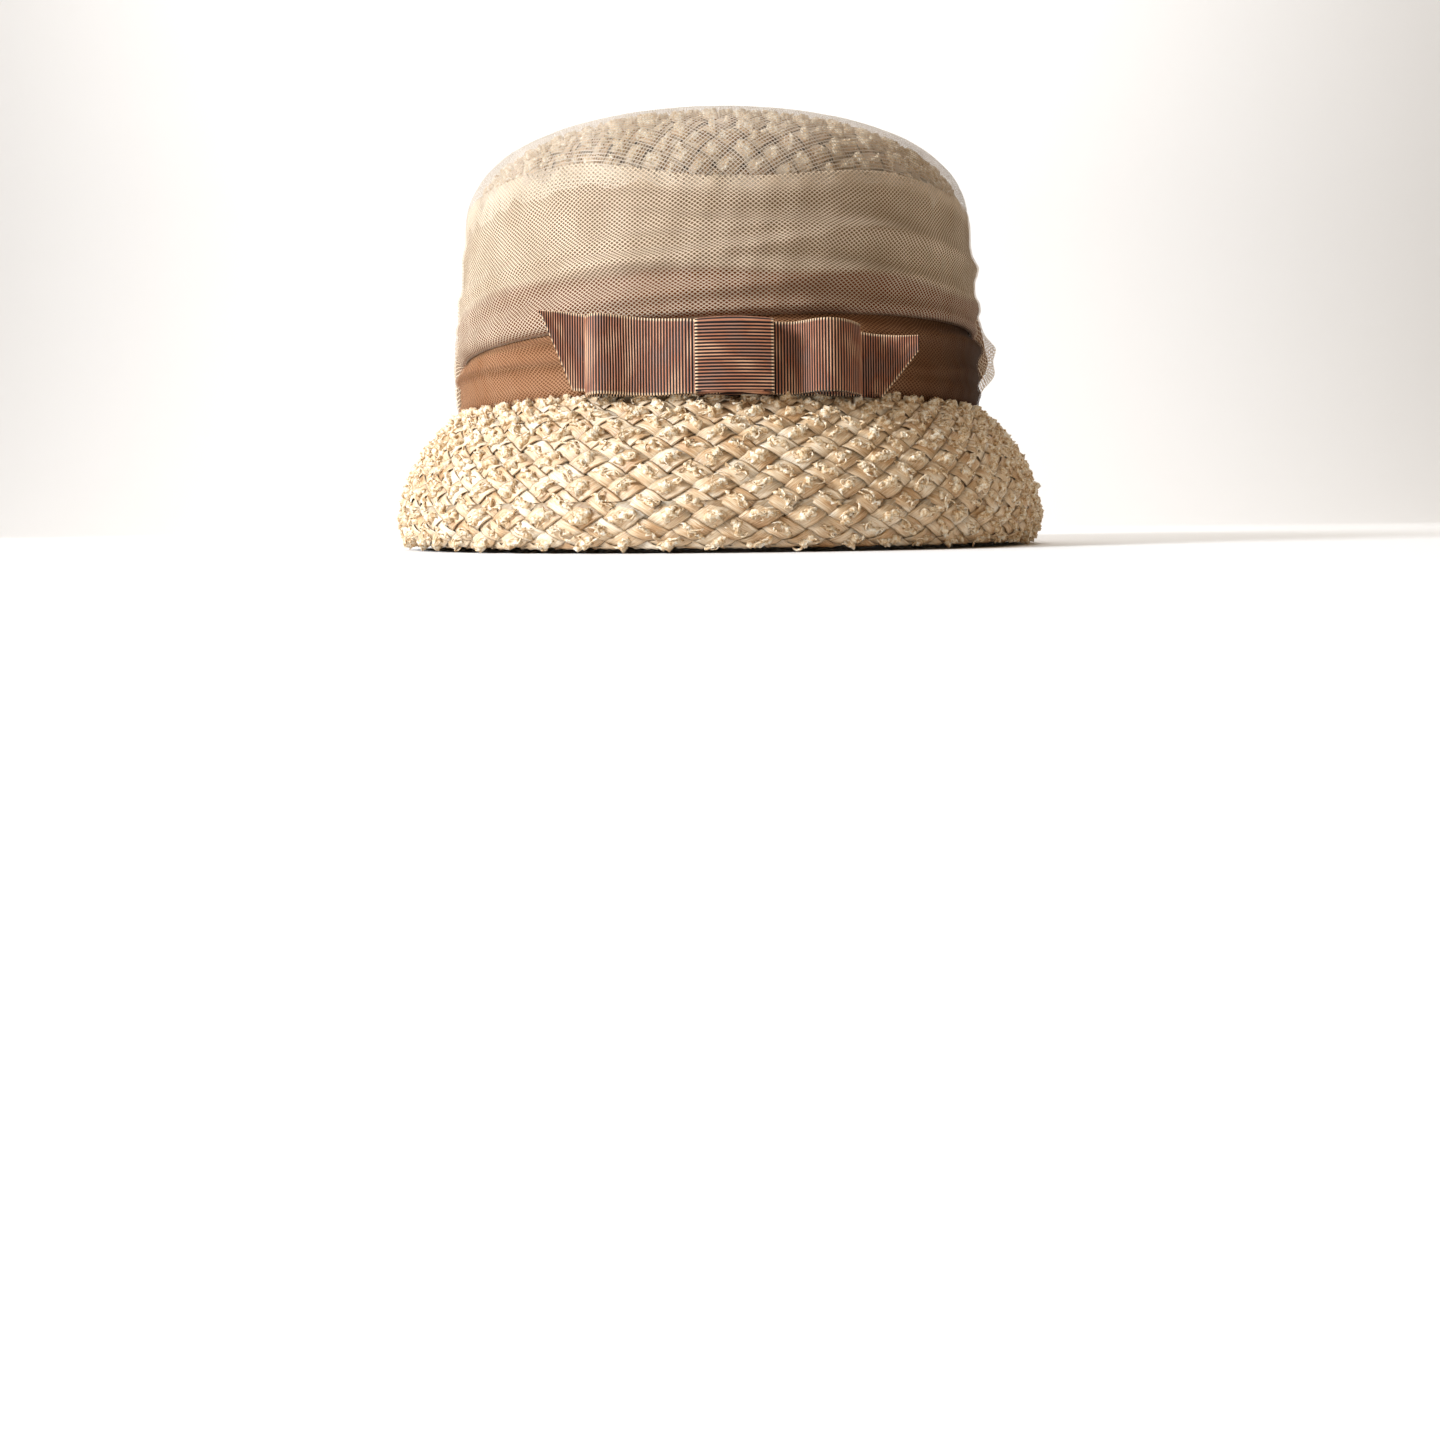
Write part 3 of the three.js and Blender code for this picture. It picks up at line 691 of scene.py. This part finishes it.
BAND_FOLDS = [
    # height, slope, sway, turns, phase, spread, depth, middle, reach
    (0.2, 0.05, 0.02, 5, 0.4, 0.07, 1.0 * MM, 0.0, 9),
    (0.36, -0.34, 0.03, 3, 1.0, 0.07, 1.9 * MM, -1.3, 1.6),
    (0.6, -0.42, 0.02, 4, 2.0, 0.05, 1.7 * MM, -1.1, 1.3),
    (0.86, -0.5, 0.02, 4, 2.6, 0.045, 1.4 * MM, -1.0, 1.1),
    (0.6, 0.26, 0.03, 3, 0.2, 0.08, 1.5 * MM, 1.4, 1.7),
    (0.26, 0.22, 0.02, 6, 1.2, 0.06, 1.0 * MM, 1.2, 1.4),
    (0.82, 0.03, 0.02, 4, 0.1, 0.1, 1.0 * MM, 3.14, 2.4),
    (0.5, 0.02, 0.05, 5, 0.9, 0.1, 1.2 * MM, 3.14, 2.0),
]
BAND_FOOT = 43.0 * MM
BAND_TOP = 76.8 * MM
BAND_FULL = 3.6 * MM  # of its outer face off the crown, before the folds
BAND_RIGHT = 0.7 * MM  # more on the right
BAND_HEM = 2.4 * MM  # at its foot
BAND_COVERED = 1.5 * MM  # under the swathe
BAND_WALL = 0.6 * MM  # from its outer face to its inner one


def band_section(theta):
    """Outer face from foot to top, then the inner face back down. The outer face stands BAND_FULL +
    BAND_RIGHT max(sin theta, 0) + folds off the crown, and drops to BAND_COVERED under the swathe. Gathers on
    the left lie double and are darker. The net on the right front is darkest: painted shade, through the
    attribute tint."""
    up = np.linspace(0, 1, 44)[None, :]
    z = BAND_FOOT + (BAND_TOP - BAND_FOOT) * up
    edge = edge_height(theta)
    shown = (z - BAND_FOOT) / (edge - BAND_FOOT)
    folds = ridges(theta, shown, BAND_FOLDS)
    crimp = 0.18 * MM * np.sin(67 * theta + 9 * shown + 3 * np.sin(5 * theta))
    full = BAND_FULL + folds + crimp + BAND_RIGHT * np.maximum(np.sin(theta), 0)
    covered = smooth(0.84, 1.02, shown)
    tucked = smooth(0, 0.1, shown)
    outer = (BAND_HEM + (full - BAND_HEM) * tucked) * (1 - covered) + BAND_COVERED * covered
    inner = outer[:, ::-1][:, ::2] - BAND_WALL
    z = z + 0 * theta
    dense = np.concatenate([np.zeros(outer.shape), np.ones(inner.shape)], 1)
    # Painted shade: the net on the right front is darkened towards tint_code, for the shade on that side.
    tint = 0.88 * smooth(0.2, 0.95, np.sin(theta)) * smooth(-0.9, -0.3, np.cos(theta))
    gathers = 0.26 * smooth(0.5 * MM, 1.6 * MM, folds) * smooth(0.1, -0.4, np.sin(theta))
    tint = tint + np.concatenate([gathers, gathers[:, ::-1][:, ::2]], 1)
    return np.concatenate([z, z[:, ::-1][:, ::2]], 1), np.concatenate([outer, inner], 1), dense, tint


# Painted shade: under_code 70482e on the inner face and tint_code 301a08 on the right front.
band_net = net_material("brown_net", ("a47450", "ba8c68"), "70482e", "301a08", 0.28, 0.93, 0.7)
band = mesh_piece("net_band_sheet", *net_ring(360, band_section))
band.data.materials.append(band_net)
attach(band, "root")
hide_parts("net_band")

# Cream net swathe: a wide length of net, folded double, draped round the crown over the veil's edge and the
# band's, and tacked at the back, where its loose ends puff out over the band.
SWATHE_FOLDS = [
    # height, slope, sway, turns, phase, spread, depth, middle, reach
    (0.05, 0.0, 0.01, 3, 0.3, 0.04, 0.8 * MM, 0.0, 9),
    (0.2, 0.08, 0.03, 2, 0.2, 0.06, 1.6 * MM, -0.9, 2.2),
    (0.33, -0.08, 0.03, 3, 1.9, 0.06, 1.5 * MM, 0.7, 1.9),
    (0.45, 0.2, 0.03, 2, 0.9, 0.06, 1.9 * MM, -0.6, 1.6),
    (0.6, 0.2, 0.02, 3, 0.3, 0.045, 1.3 * MM, -1.0, 1.3),
    (0.66, -0.1, 0.02, 3, 2.6, 0.05, 1.3 * MM, 0.9, 1.6),
    (0.82, 0.06, 0.02, 2, 1.4, 0.05, 0.8 * MM, -0.8, 1.7),
    (0.3, 0.0, 0.05, 3, 0.4, 0.1, 1.2 * MM, 3.14, 2.2),
    (0.62, 0.0, 0.04, 4, 1.4, 0.1, 1.2 * MM, 3.14, 2.2),
]
SWATHE_TOP = 101.8 * MM  # height of the upper edge at the front
TOP_LEFT = 6.6 * MM  # how much higher the upper edge is on the left
TOP_RIGHT = 4.6 * MM  # and on the right
SWATHE_HANG = 46 * MM  # height of the lower edge at the back
SWATHE_HEM = 2.2 * MM  # of its edges off the crown, except where the lower one hangs over the band
SWATHE_WALL = 0.55 * MM  # from its outer face to its inner one
LOBE_DEPTH = 5.5 * MM
PUFF_DEPTH = 4.8 * MM
PUFF_ANGLE = 1.62  # of the puffs' middle, from the front
PUFFS = [
    # height, half height, share of the depth
    (58 * MM, 5 * MM, 1),
    (68.5 * MM, 3.2 * MM, 0.75),
]


def behind(theta):
    """0 at the front and sides, 1 at the back."""
    return smooth(0.455, 0.54, np.arccos(np.clip(np.cos(theta), -1, 1)) / math.pi)


def swathe_section(theta):
    """Outer face from the lower edge to the upper, then the inner face back. At the back the lower edge hangs
    nearly to the band's foot and two lobes stand out. On the right two gauzy puffs of the outer layer alone
    stand out further, just behind the widest part. Where the band lies behind, both layers take some of its
    brown, the inner one more."""
    up = np.linspace(0, 1, 60)[None, :]
    back = behind(theta)
    low = edge_height(theta) * (1 - back) + SWATHE_HANG * back
    around = np.arccos(np.clip(np.cos(theta), -1, 1))
    high = SWATHE_TOP + np.where(np.sin(theta) < 0, TOP_LEFT, TOP_RIGHT) * smooth(0.03, 0.6, around)
    high = high - 5 * MM * back
    z = low + (high - low) * up
    folds = ridges(theta, up, SWATHE_FOLDS)
    lobes = np.exp(-(((up - 0.3) / 0.13) ** 2)) + 0.6 * np.exp(-(((up - 0.58) / 0.09) ** 2))
    lobes = lobes * LOBE_DEPTH
    side = 0.55 + 0.45 * np.sin(theta)
    over_band = 4.9 * MM * (1 - smooth(0.3, 0.5, up)) * back
    rounded = smooth(0, 0.03, up) * smooth(1, 0.97, up)
    crimp = 0.12 * MM * np.sin(53 * theta - 7 * up + 2 * np.sin(7 * theta))
    full = 1.2 * MM + 0.5 * MM * np.maximum(np.sin(theta), 0) + folds * (1 - 0.6 * back)
    full = full - 1.3 * MM * smooth(0.5, 0.8, up)
    outer = SWATHE_HEM + over_band + rounded * (full + crimp + lobes * side * back)
    inner_z = z[:, ::-1][:, ::2]
    inner = outer[:, ::-1][:, ::2] - SWATHE_WALL
    puffs = sum(share * np.exp(-(((z - height) / spread) ** 2)) for height, spread, share in PUFFS)
    outer = outer + PUFF_DEPTH * puffs * rounded * np.exp(-(((theta - PUFF_ANGLE) / 0.1) ** 2))
    both_z = np.concatenate([z, inner_z], 1)
    over_brown = 1 - smooth(-1 * MM, 1 * MM, both_z - BAND_TOP + 0.6 * MM * np.sin(9 * theta))
    inside = np.concatenate([np.zeros(outer.shape), np.ones(inner.shape)], 1)
    dense = inside * (1 - 0.75 * smooth(0.86, 1, np.concatenate([up, up[:, ::-1][:, ::2]], 1)))
    tint = over_brown * (1 - back) * (0.3 + 0.14 * np.sin(theta) + inside * 0.6)
    return both_z, np.concatenate([outer, inner], 1), dense, tint


# Painted shade: under_code 745a42 on the inner layer, which lies behind the outer one.
swathe_net = net_material("cream_net", ("d0ba9e", "f0dabe"), "745a42", "642e10", 0.25, 0.87)
swathe = mesh_piece("net_swathe_sheet", *net_ring(360, swathe_section))
swathe.data.materials.append(swathe_net)
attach(swathe, "root")
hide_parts("net_swathe")

# Bow: folded from ribbed ribbon, with a strip with slant-cut ends behind, two flat loops in front of it, and
# a short length wrapped round the middle. The ribs run across the ribbon, and its woven edges are scalloped.
RIB_PITCH = 0.88 * MM
RIB_DEPTH = 0.17 * MM
RIB_STEPS = 5  # rings of points in one rib
RIBBON_WALL = 0.55 * MM
RIBBON_FOOT = 42.3 * MM
RIBBON_TOP = 61.9 * MM
RIBBON_UV = 0.02  # the ribbon's height on its uv map
BOW_OFF = 6 * MM  # off the crown, where lengths along the bow are measured


def bow_point(along, out, z):
    """The point at a length round the crown's front from the bow's middle, standing off the crown by out. The
    oval's angle for a length is read from a table of its arc at BOW_OFF, and the length is first scaled to
    that oval by the ratio of the half widths."""
    theta = np.linspace(-1.4, 1.4, 800)
    share = np.interp(np.mean(z), crown_line.z[::-1], crown_line.share[::-1])
    x, y = HALF_WIDTH * share + BOW_OFF, HALF_DEPTH * share + BOW_OFF
    arc = np.concatenate([[0], np.cumsum(np.hypot(x * np.diff(np.sin(theta)), y * np.diff(np.cos(theta))))])
    angle = np.interp(along * x / (x - BOW_OFF + out), arc - np.interp(0, theta, arc), theta)
    return crown_line.point(angle, height_to_length(z), out)


def ribbon(path, outward, low, high, dents=()):
    """A ribbon carried along a path of (along, out) points, upright from low to high: both faces are ribbed
    and its edges swell at each rib. dents are soft hollows, each with its place along the path, its height
    share, the two half widths and the depth. Returns points, faces, uv and the rib's height from -1 to 1."""
    step = np.hypot(*np.diff(path, axis=0).T)
    length = np.concatenate([[0], np.cumsum(step)])
    s = np.arange(0, length[-1], RIB_PITCH / RIB_STEPS)
    line = np.stack([np.interp(s, length, path[:, i]) for i in (0, 1)], -1)
    low, high = (np.interp(s, length, np.broadcast_to(v, length.shape)) for v in (low, high))
    tangent = np.gradient(line, s, axis=0)
    tangent /= np.linalg.norm(tangent, axis=1, keepdims=True)
    normal = np.stack([-tangent[:, 1], tangent[:, 0]], -1) * outward
    rib = np.cos(2 * math.pi * s / RIB_PITCH)
    up = np.array([0, 0.012, 0.035, 0.15, 0.3, 0.45, 0.6, 0.75, 0.87, 0.965, 0.988, 1.0])
    depth = np.array([-0.3, 0.6, 1, 1, 1, 1, 1, 1, 1, 1, 0.6, -0.3])
    columns = []
    for side in (1, -1):
        for share, deep in zip(up if side > 0 else up[::-1], depth):
            swell = (0.24 * MM * (rib + 1) / 2) * (abs(share - 0.5) > 0.48) * np.sign(share - 0.5)
            z = low + (high - low) * share + swell
            lift = side * (RIBBON_WALL / 2 + deep * RIB_DEPTH * rib)
            for place_at, share_at, spread, rise, dent in dents:
                away = ((s - place_at) / spread) ** 2 + ((share - share_at) / rise) ** 2
                lift = lift - dent * np.exp(-away)
            place = line + normal * lift[:, None]
            columns.append(np.stack([place[:, 0], place[:, 1], z], -1))
    grid = np.stack(columns, 1)
    points = bow_point(grid[..., 0].ravel(), grid[..., 1].ravel(), grid[..., 2].ravel())
    faces = [grid_faces(len(s), grid.shape[1], close_columns=True)]
    sides = grid.shape[1]
    faces.append(np.stack([np.arange(sides)[::-1], (len(s) - 1) * sides + np.arange(sides)]))
    uv = np.stack([np.repeat(s, sides), np.tile(np.concatenate([up, up[::-1]]) * RIBBON_UV, len(s))], -1)
    return points, faces, uv, np.repeat(rib, sides)


def ribbon_material():
    """Ribbed ribbon: grooves are near-black maroon and rib crests drift from a greyish brown through a
    reddish one to a light tan; this contrast is partly the ribbon's own colour and partly painted light on
    the crests and painted shade in the grooves. Within 0.7 mm of the woven edges, where uv's second value
    nears 0 or
    RIBBON_UV, the crests turn a lighter tan. Crosswise threads show as fine bump."""
    material, nodes, links, principled = shader("bow_ribbon", 0.55)
    rib = node(nodes, "ShaderNodeAttribute", attribute_name="rib")
    uv = node(nodes, "ShaderNodeUVMap", uv_map="weave")
    drift_place = node(nodes, "ShaderNodeMapping", Scale=(130, 60, 1))
    links.new(uv.outputs["UV"], drift_place.inputs["Vector"])
    drift = node(nodes, "ShaderNodeTexNoise", Scale=1.0, Detail=2.0)
    links.new(drift_place.outputs["Vector"], drift.inputs["Vector"])
    crest = ramp(nodes, [(0.32, "a4806e"), (0.48, "b47454"), (0.68, "ecba94")])
    links.new(drift.outputs["Fac"], crest.inputs["Fac"])
    mix = node(nodes, "ShaderNodeMix", data_type="RGBA")
    spread = node(nodes, "ShaderNodeMapRange")
    spread.inputs["From Min"].default_value = 0.05
    spread.inputs["From Max"].default_value = 0.5
    links.new(rib.outputs["Fac"], spread.inputs["Value"])
    links.new(spread.outputs["Result"], mix.inputs["Factor"])
    # Painted shade: the grooves between the ribs take a near-black maroon, and the crests are painted
    # lighter.
    mix.inputs[6].default_value = colour("140705")
    links.new(crest.outputs["Color"], mix.inputs[7])
    split = node(nodes, "ShaderNodeSeparateXYZ")
    links.new(uv.outputs["UV"], split.inputs["Vector"])
    from_edge = node(nodes, "ShaderNodeMath", operation="PINGPONG")
    from_edge.inputs[1].default_value = RIBBON_UV / 2
    links.new(split.outputs["Y"], from_edge.inputs[0])
    edge = node(nodes, "ShaderNodeMapRange")
    edge.inputs["From Min"].default_value = 0.0007
    edge.inputs["From Max"].default_value = 0.0004
    links.new(from_edge.outputs["Value"], edge.inputs["Value"])
    woven = node(nodes, "ShaderNodeMix", data_type="RGBA")
    woven.inputs[7].default_value = colour("ecc8a0")
    scallop = node(nodes, "ShaderNodeMath", operation="MULTIPLY")
    links.new(edge.outputs["Result"], scallop.inputs[0])
    links.new(spread.outputs["Result"], scallop.inputs[1])
    links.new(scallop.outputs["Value"], woven.inputs["Factor"])
    links.new(mix.outputs[2], woven.inputs[6])
    links.new(woven.outputs[2], principled.inputs["Base Color"])
    thread_place = node(nodes, "ShaderNodeMapping", Scale=(1100, 2600, 1))
    links.new(uv.outputs["UV"], thread_place.inputs["Vector"])
    threads = node(nodes, "ShaderNodeTexNoise", Scale=1.0, Detail=1.0)
    links.new(thread_place.outputs["Vector"], threads.inputs["Vector"])
    bump = node(nodes, "ShaderNodeBump", Strength=0.25, Distance=0.0002)
    links.new(threads.outputs["Fac"], bump.inputs["Height"])
    links.new(bump.outputs["Normal"], principled.inputs["Normal"])
    principled.inputs["Specular IOR Level"].default_value = 0.35
    return material


bow_ribbon = ribbon_material()


def ribbon_piece(name, cad_node, *made):
    """A piece of the bow from what ribbon or knot_mesh made, in place of the CAD node."""
    points, faces, uv, rib = made
    piece = mesh_piece(name, points, faces, uv, attributes={"rib": rib})
    piece.data.materials.append(bow_ribbon)
    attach(piece, "root")
    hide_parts(cad_node)
    return piece


def smooth_path(knots, count=400):
    """A Catmull-Rom curve through (along, out) knots, in millimetres."""
    knots = np.array(knots, float)
    padded = np.concatenate([[2 * knots[0] - knots[1]], knots, [2 * knots[-1] - knots[-2]]])
    t = np.linspace(0, len(knots) - 1 - 1e-9, count)
    i = t.astype(int)
    f = (t - i)[:, None]
    p0, p1, p2, p3 = (padded[i + n] for n in range(4))
    square = (2 * p0 - 5 * p1 + 4 * p2 - p3) * f**2
    cube = (3 * p1 - p0 - 3 * p2 + p3) * f**3
    return 0.5 * (2 * p1 + (p2 - p0) * f + square + cube) * MM


# tails: (along, out) knots from the left tip to the right one, in millimetres
TAIL_KNOTS = [
    (-58.8, 11.6),
    (-53.6, 8.4),
    (-46, 5.6),
    (-30, 5.2),
    (0, 5),
    (30, 5.2),
    (40, 6.2),
    (47.4, 10),
    (56.2, 16.2),
]
LEFT_SLANT, LEFT_SLANT_RUN = 47.6, 11.6  # where the cut starts, in mm from the knot's middle, and its run
RIGHT_SLANT, RIGHT_SLANT_RUN = 43.6, 13.0
LEFT_LIFT = 5.2 * MM  # of the left tail's upper edge at its end
LEFT_LOW_LIFT = 2.6 * MM  # of its lower edge
RIGHT_DROP = 3.2 * MM  # of the right tail at its end
tail_path = smooth_path(TAIL_KNOTS)
reach = tail_path[:, 0] / MM
cut_left = np.clip((-reach - LEFT_SLANT) / LEFT_SLANT_RUN, 0, 0.97)
cut_right = np.clip((reach - RIGHT_SLANT) / RIGHT_SLANT_RUN, 0, 0.97)
tail_drop = RIGHT_DROP * smooth(20, 58, reach)
tail_high = RIBBON_TOP + LEFT_LIFT * smooth(20, 54, -reach) - tail_drop
tail_rise = (tail_high - RIBBON_FOOT) * 0.92 * np.maximum(cut_left, cut_right)
tail_low = RIBBON_FOOT + 1.4 * MM + LEFT_LOW_LIFT * smooth(25, 60, -reach) - tail_drop + tail_rise
tail_low = np.minimum(tail_low, tail_high - 0.5 * MM)
ribbon_piece("bow_tails_ribbon", "bow_tails", *ribbon(tail_path, 1, tail_low, tail_high))

# loops: each from the knot, out along the front, round its end and back behind
LEFT_FRONT = [(-4, 9), (-12, 10.4), (-18, 9.2), (-24, 7.8), (-29, 8.5), (-34, 11.3), (-38.6, 13), (-41.8, 11)]
LEFT_BACK = [(-42.2, 7.9), (-39.5, 6.7), (-30, 6.4), (-4, 6.3)]
RIGHT_FRONT = [(4, 7.3), (12, 7), (16.6, 7.3), (19.6, 9.8), (23, 13.4), (26.6, 15), (30.6, 14), (34.2, 11.2)]
RIGHT_BACK = [(36.6, 8.6), (35.4, 7), (28, 6.5), (4, 6.3)]
left_loop = smooth_path(LEFT_FRONT + LEFT_BACK)
right_loop = smooth_path(RIGHT_FRONT + RIGHT_BACK)
left_dents = [
    # place along the path, height share, half width, half height, depth
    (23 * MM, 0.3, 5 * MM, 0.35, 0.8 * MM),
    (32 * MM, 0.85, 4 * MM, 0.3, -0.6 * MM),
]
right_dents = [(34 * MM, 0.4, 5 * MM, 0.6, 0.8 * MM)]
left_rise = MM * smooth(6 * MM, 42 * MM, -left_loop[:, 0])
left_made = ribbon(left_loop, 1, RIBBON_FOOT + 0.9 * left_rise, RIBBON_TOP + 2.6 * left_rise, left_dents)
right_made = ribbon(right_loop, -1, RIBBON_FOOT, RIBBON_TOP, right_dents)
ribbon_piece("bow_left_loop_ribbon", "bow_loops", *left_made)
ribbon_piece("bow_right_loop_ribbon", "bow_loops", *right_made)


KNOT_WIDTH = 21.2 * MM
KNOT_BACK = 4.6 * MM  # off the crown
KNOT_FRONT = 12.4 * MM
KNOT_CORNER = 0.9 * MM


def knot_mesh():
    """The knot's ribbon goes round the bow from top to bottom, so its ribs lie level: a rounded oblong path
    in (out, height), carried from the knot's left edge to its right."""
    back, front, corner = KNOT_BACK, KNOT_FRONT, KNOT_CORNER
    low, high = RIBBON_FOOT - 0.1 * MM, RIBBON_TOP - 0.2 * MM
    turn = np.linspace(0, math.pi / 2, 8)
    arcs = []
    for quarter, (x, y) in enumerate(((front, low), (front, high), (back, high), (back, low))):
        start = (quarter - 1) * math.pi / 2
        cx = x - corner if x == front else x + corner
        cy = y + corner if y == low else y - corner
        arcs.append(np.stack([cx + corner * np.cos(start + turn), cy + corner * np.sin(start + turn)], -1))
    path = np.concatenate(arcs + [arcs[0][:1]])
    length = np.concatenate([[0], np.cumsum(np.hypot(*np.diff(path, axis=0).T))])
    ribs = round(length[-1] / RIB_PITCH)
    s = np.linspace(0, length[-1], ribs * RIB_STEPS, endpoint=False)
    line = np.stack([np.interp(s, length, path[:, i]) for i in (0, 1)], -1)
    tangent = np.roll(line, -1, 0) - np.roll(line, 1, 0)
    tangent /= np.linalg.norm(tangent, axis=1, keepdims=True)
    normal = np.stack([tangent[:, 1], -tangent[:, 0]], -1)
    rib = np.cos(2 * math.pi * s / length[-1] * ribs)
    across = np.array([-0.5, -0.49, -0.47, -0.3, -0.1, 0.1, 0.3, 0.47, 0.49, 0.5])
    depth = np.array([-0.3, 0.6, 1, 1, 1, 1, 1, 1, 0.6, -0.3])
    columns = []
    for side in (1, -1):
        for share, deep in zip(across * side, depth):
            along = share * KNOT_WIDTH + np.sign(share) * 0.2 * MM * (rib + 1) / 2 * (abs(share) > 0.48)
            swell = 0.5 * MM * np.cos(share * math.pi) * (line[:, 0] > (back + front) / 2)
            place = line + normal * (side * (RIBBON_WALL / 2 + deep * RIB_DEPTH * rib) + swell)[:, None]
            columns.append(np.stack([along, place[:, 0], place[:, 1]], -1))
    grid = np.stack(columns, 1)
    points = bow_point(grid[..., 0].ravel(), grid[..., 1].ravel(), grid[..., 2].ravel())
    sides = grid.shape[1]
    faces = [grid_faces(len(s), sides, close_rows=True, close_columns=True)]
    over = (np.concatenate([across, -across]) + 0.5) * RIBBON_UV
    uv = np.stack([np.repeat(s, sides), np.tile(over, len(s))], -1)
    return points, faces, uv, np.repeat(rib, sides)


ribbon_piece("bow_knot_ribbon", "bow_knot", *knot_mesh())

# Floor and light: a plain pale floor that sweeps up into a backdrop, a window on the left and a weak fill.
FLOOR_BACK = 1.1  # where the floor starts to sweep up
SWEEP = 0.5  # the sweep's radius
sweep_turn = np.linspace(0.1, math.pi / 2, 12)
floor_run = np.concatenate([np.linspace(-1.2, FLOOR_BACK, 8), FLOOR_BACK + SWEEP * np.sin(sweep_turn), [1.6]])
floor_rise = np.concatenate([np.zeros(8), SWEEP * (1 - np.cos(sweep_turn)), [2.4]])
sides = np.array([-2.4, 2.4])
floor_points = np.stack(
    [
        np.repeat(sides[None], len(floor_run), 0),
        np.repeat(floor_run[:, None], 2, 1),
        np.repeat(floor_rise[:, None], 2, 1),
    ],
    -1,
).reshape(-1, 3)
floor = mesh_piece("floor", floor_points, [grid_faces(len(floor_run), 2)[:, ::-1]])
paper, nodes, links, principled = shader("backdrop_paper", 0.9)
principled.inputs["Base Color"].default_value = (0.88, 0.87, 0.86, 1)
principled.inputs["Specular IOR Level"].default_value = 0.2
floor.data.materials.append(paper)


def area_light(name, place, aim, size, power, tint):
    """A square area light at place, turned towards aim."""
    data = bpy.data.lights.new(name, "AREA")
    data.size = size
    data.energy = power
    data.color = tint
    light = bpy.data.objects.new(name, data)
    light.location = place
    toward = np.array(aim, float) - np.array(place, float)
    flat = math.hypot(toward[0], toward[1])
    light.rotation_euler = (math.atan2(flat, -toward[2]), 0, math.atan2(toward[1], toward[0]) - math.pi / 2)
    bpy.context.collection.objects.link(light)
    return light


area_light("window", (-0.92, -0.52, 0.5), (0, 0, 0.07), 0.34, 20, (0.84, 0.91, 1.0))
area_light("front_fill", (0.1, -1.3, 0.7), (0, 0, 0.07), 1.0, 1.8, (1.0, 0.8, 0.6))
area_light("backdrop_wash", (0.0, 0.6, 1.6), (0, 1.4, 0.4), 1.4, 26, (1.0, 1.0, 1.0))
world = bpy.data.worlds.new("studio")
world.use_nodes = True
world.node_tree.nodes["Background"].inputs["Color"].default_value = (1.0, 0.79, 0.54, 1)
world.node_tree.nodes["Background"].inputs["Strength"].default_value = 0.21
bpy.context.scene.world = world
bpy.context.scene.view_settings.view_transform = "Standard"
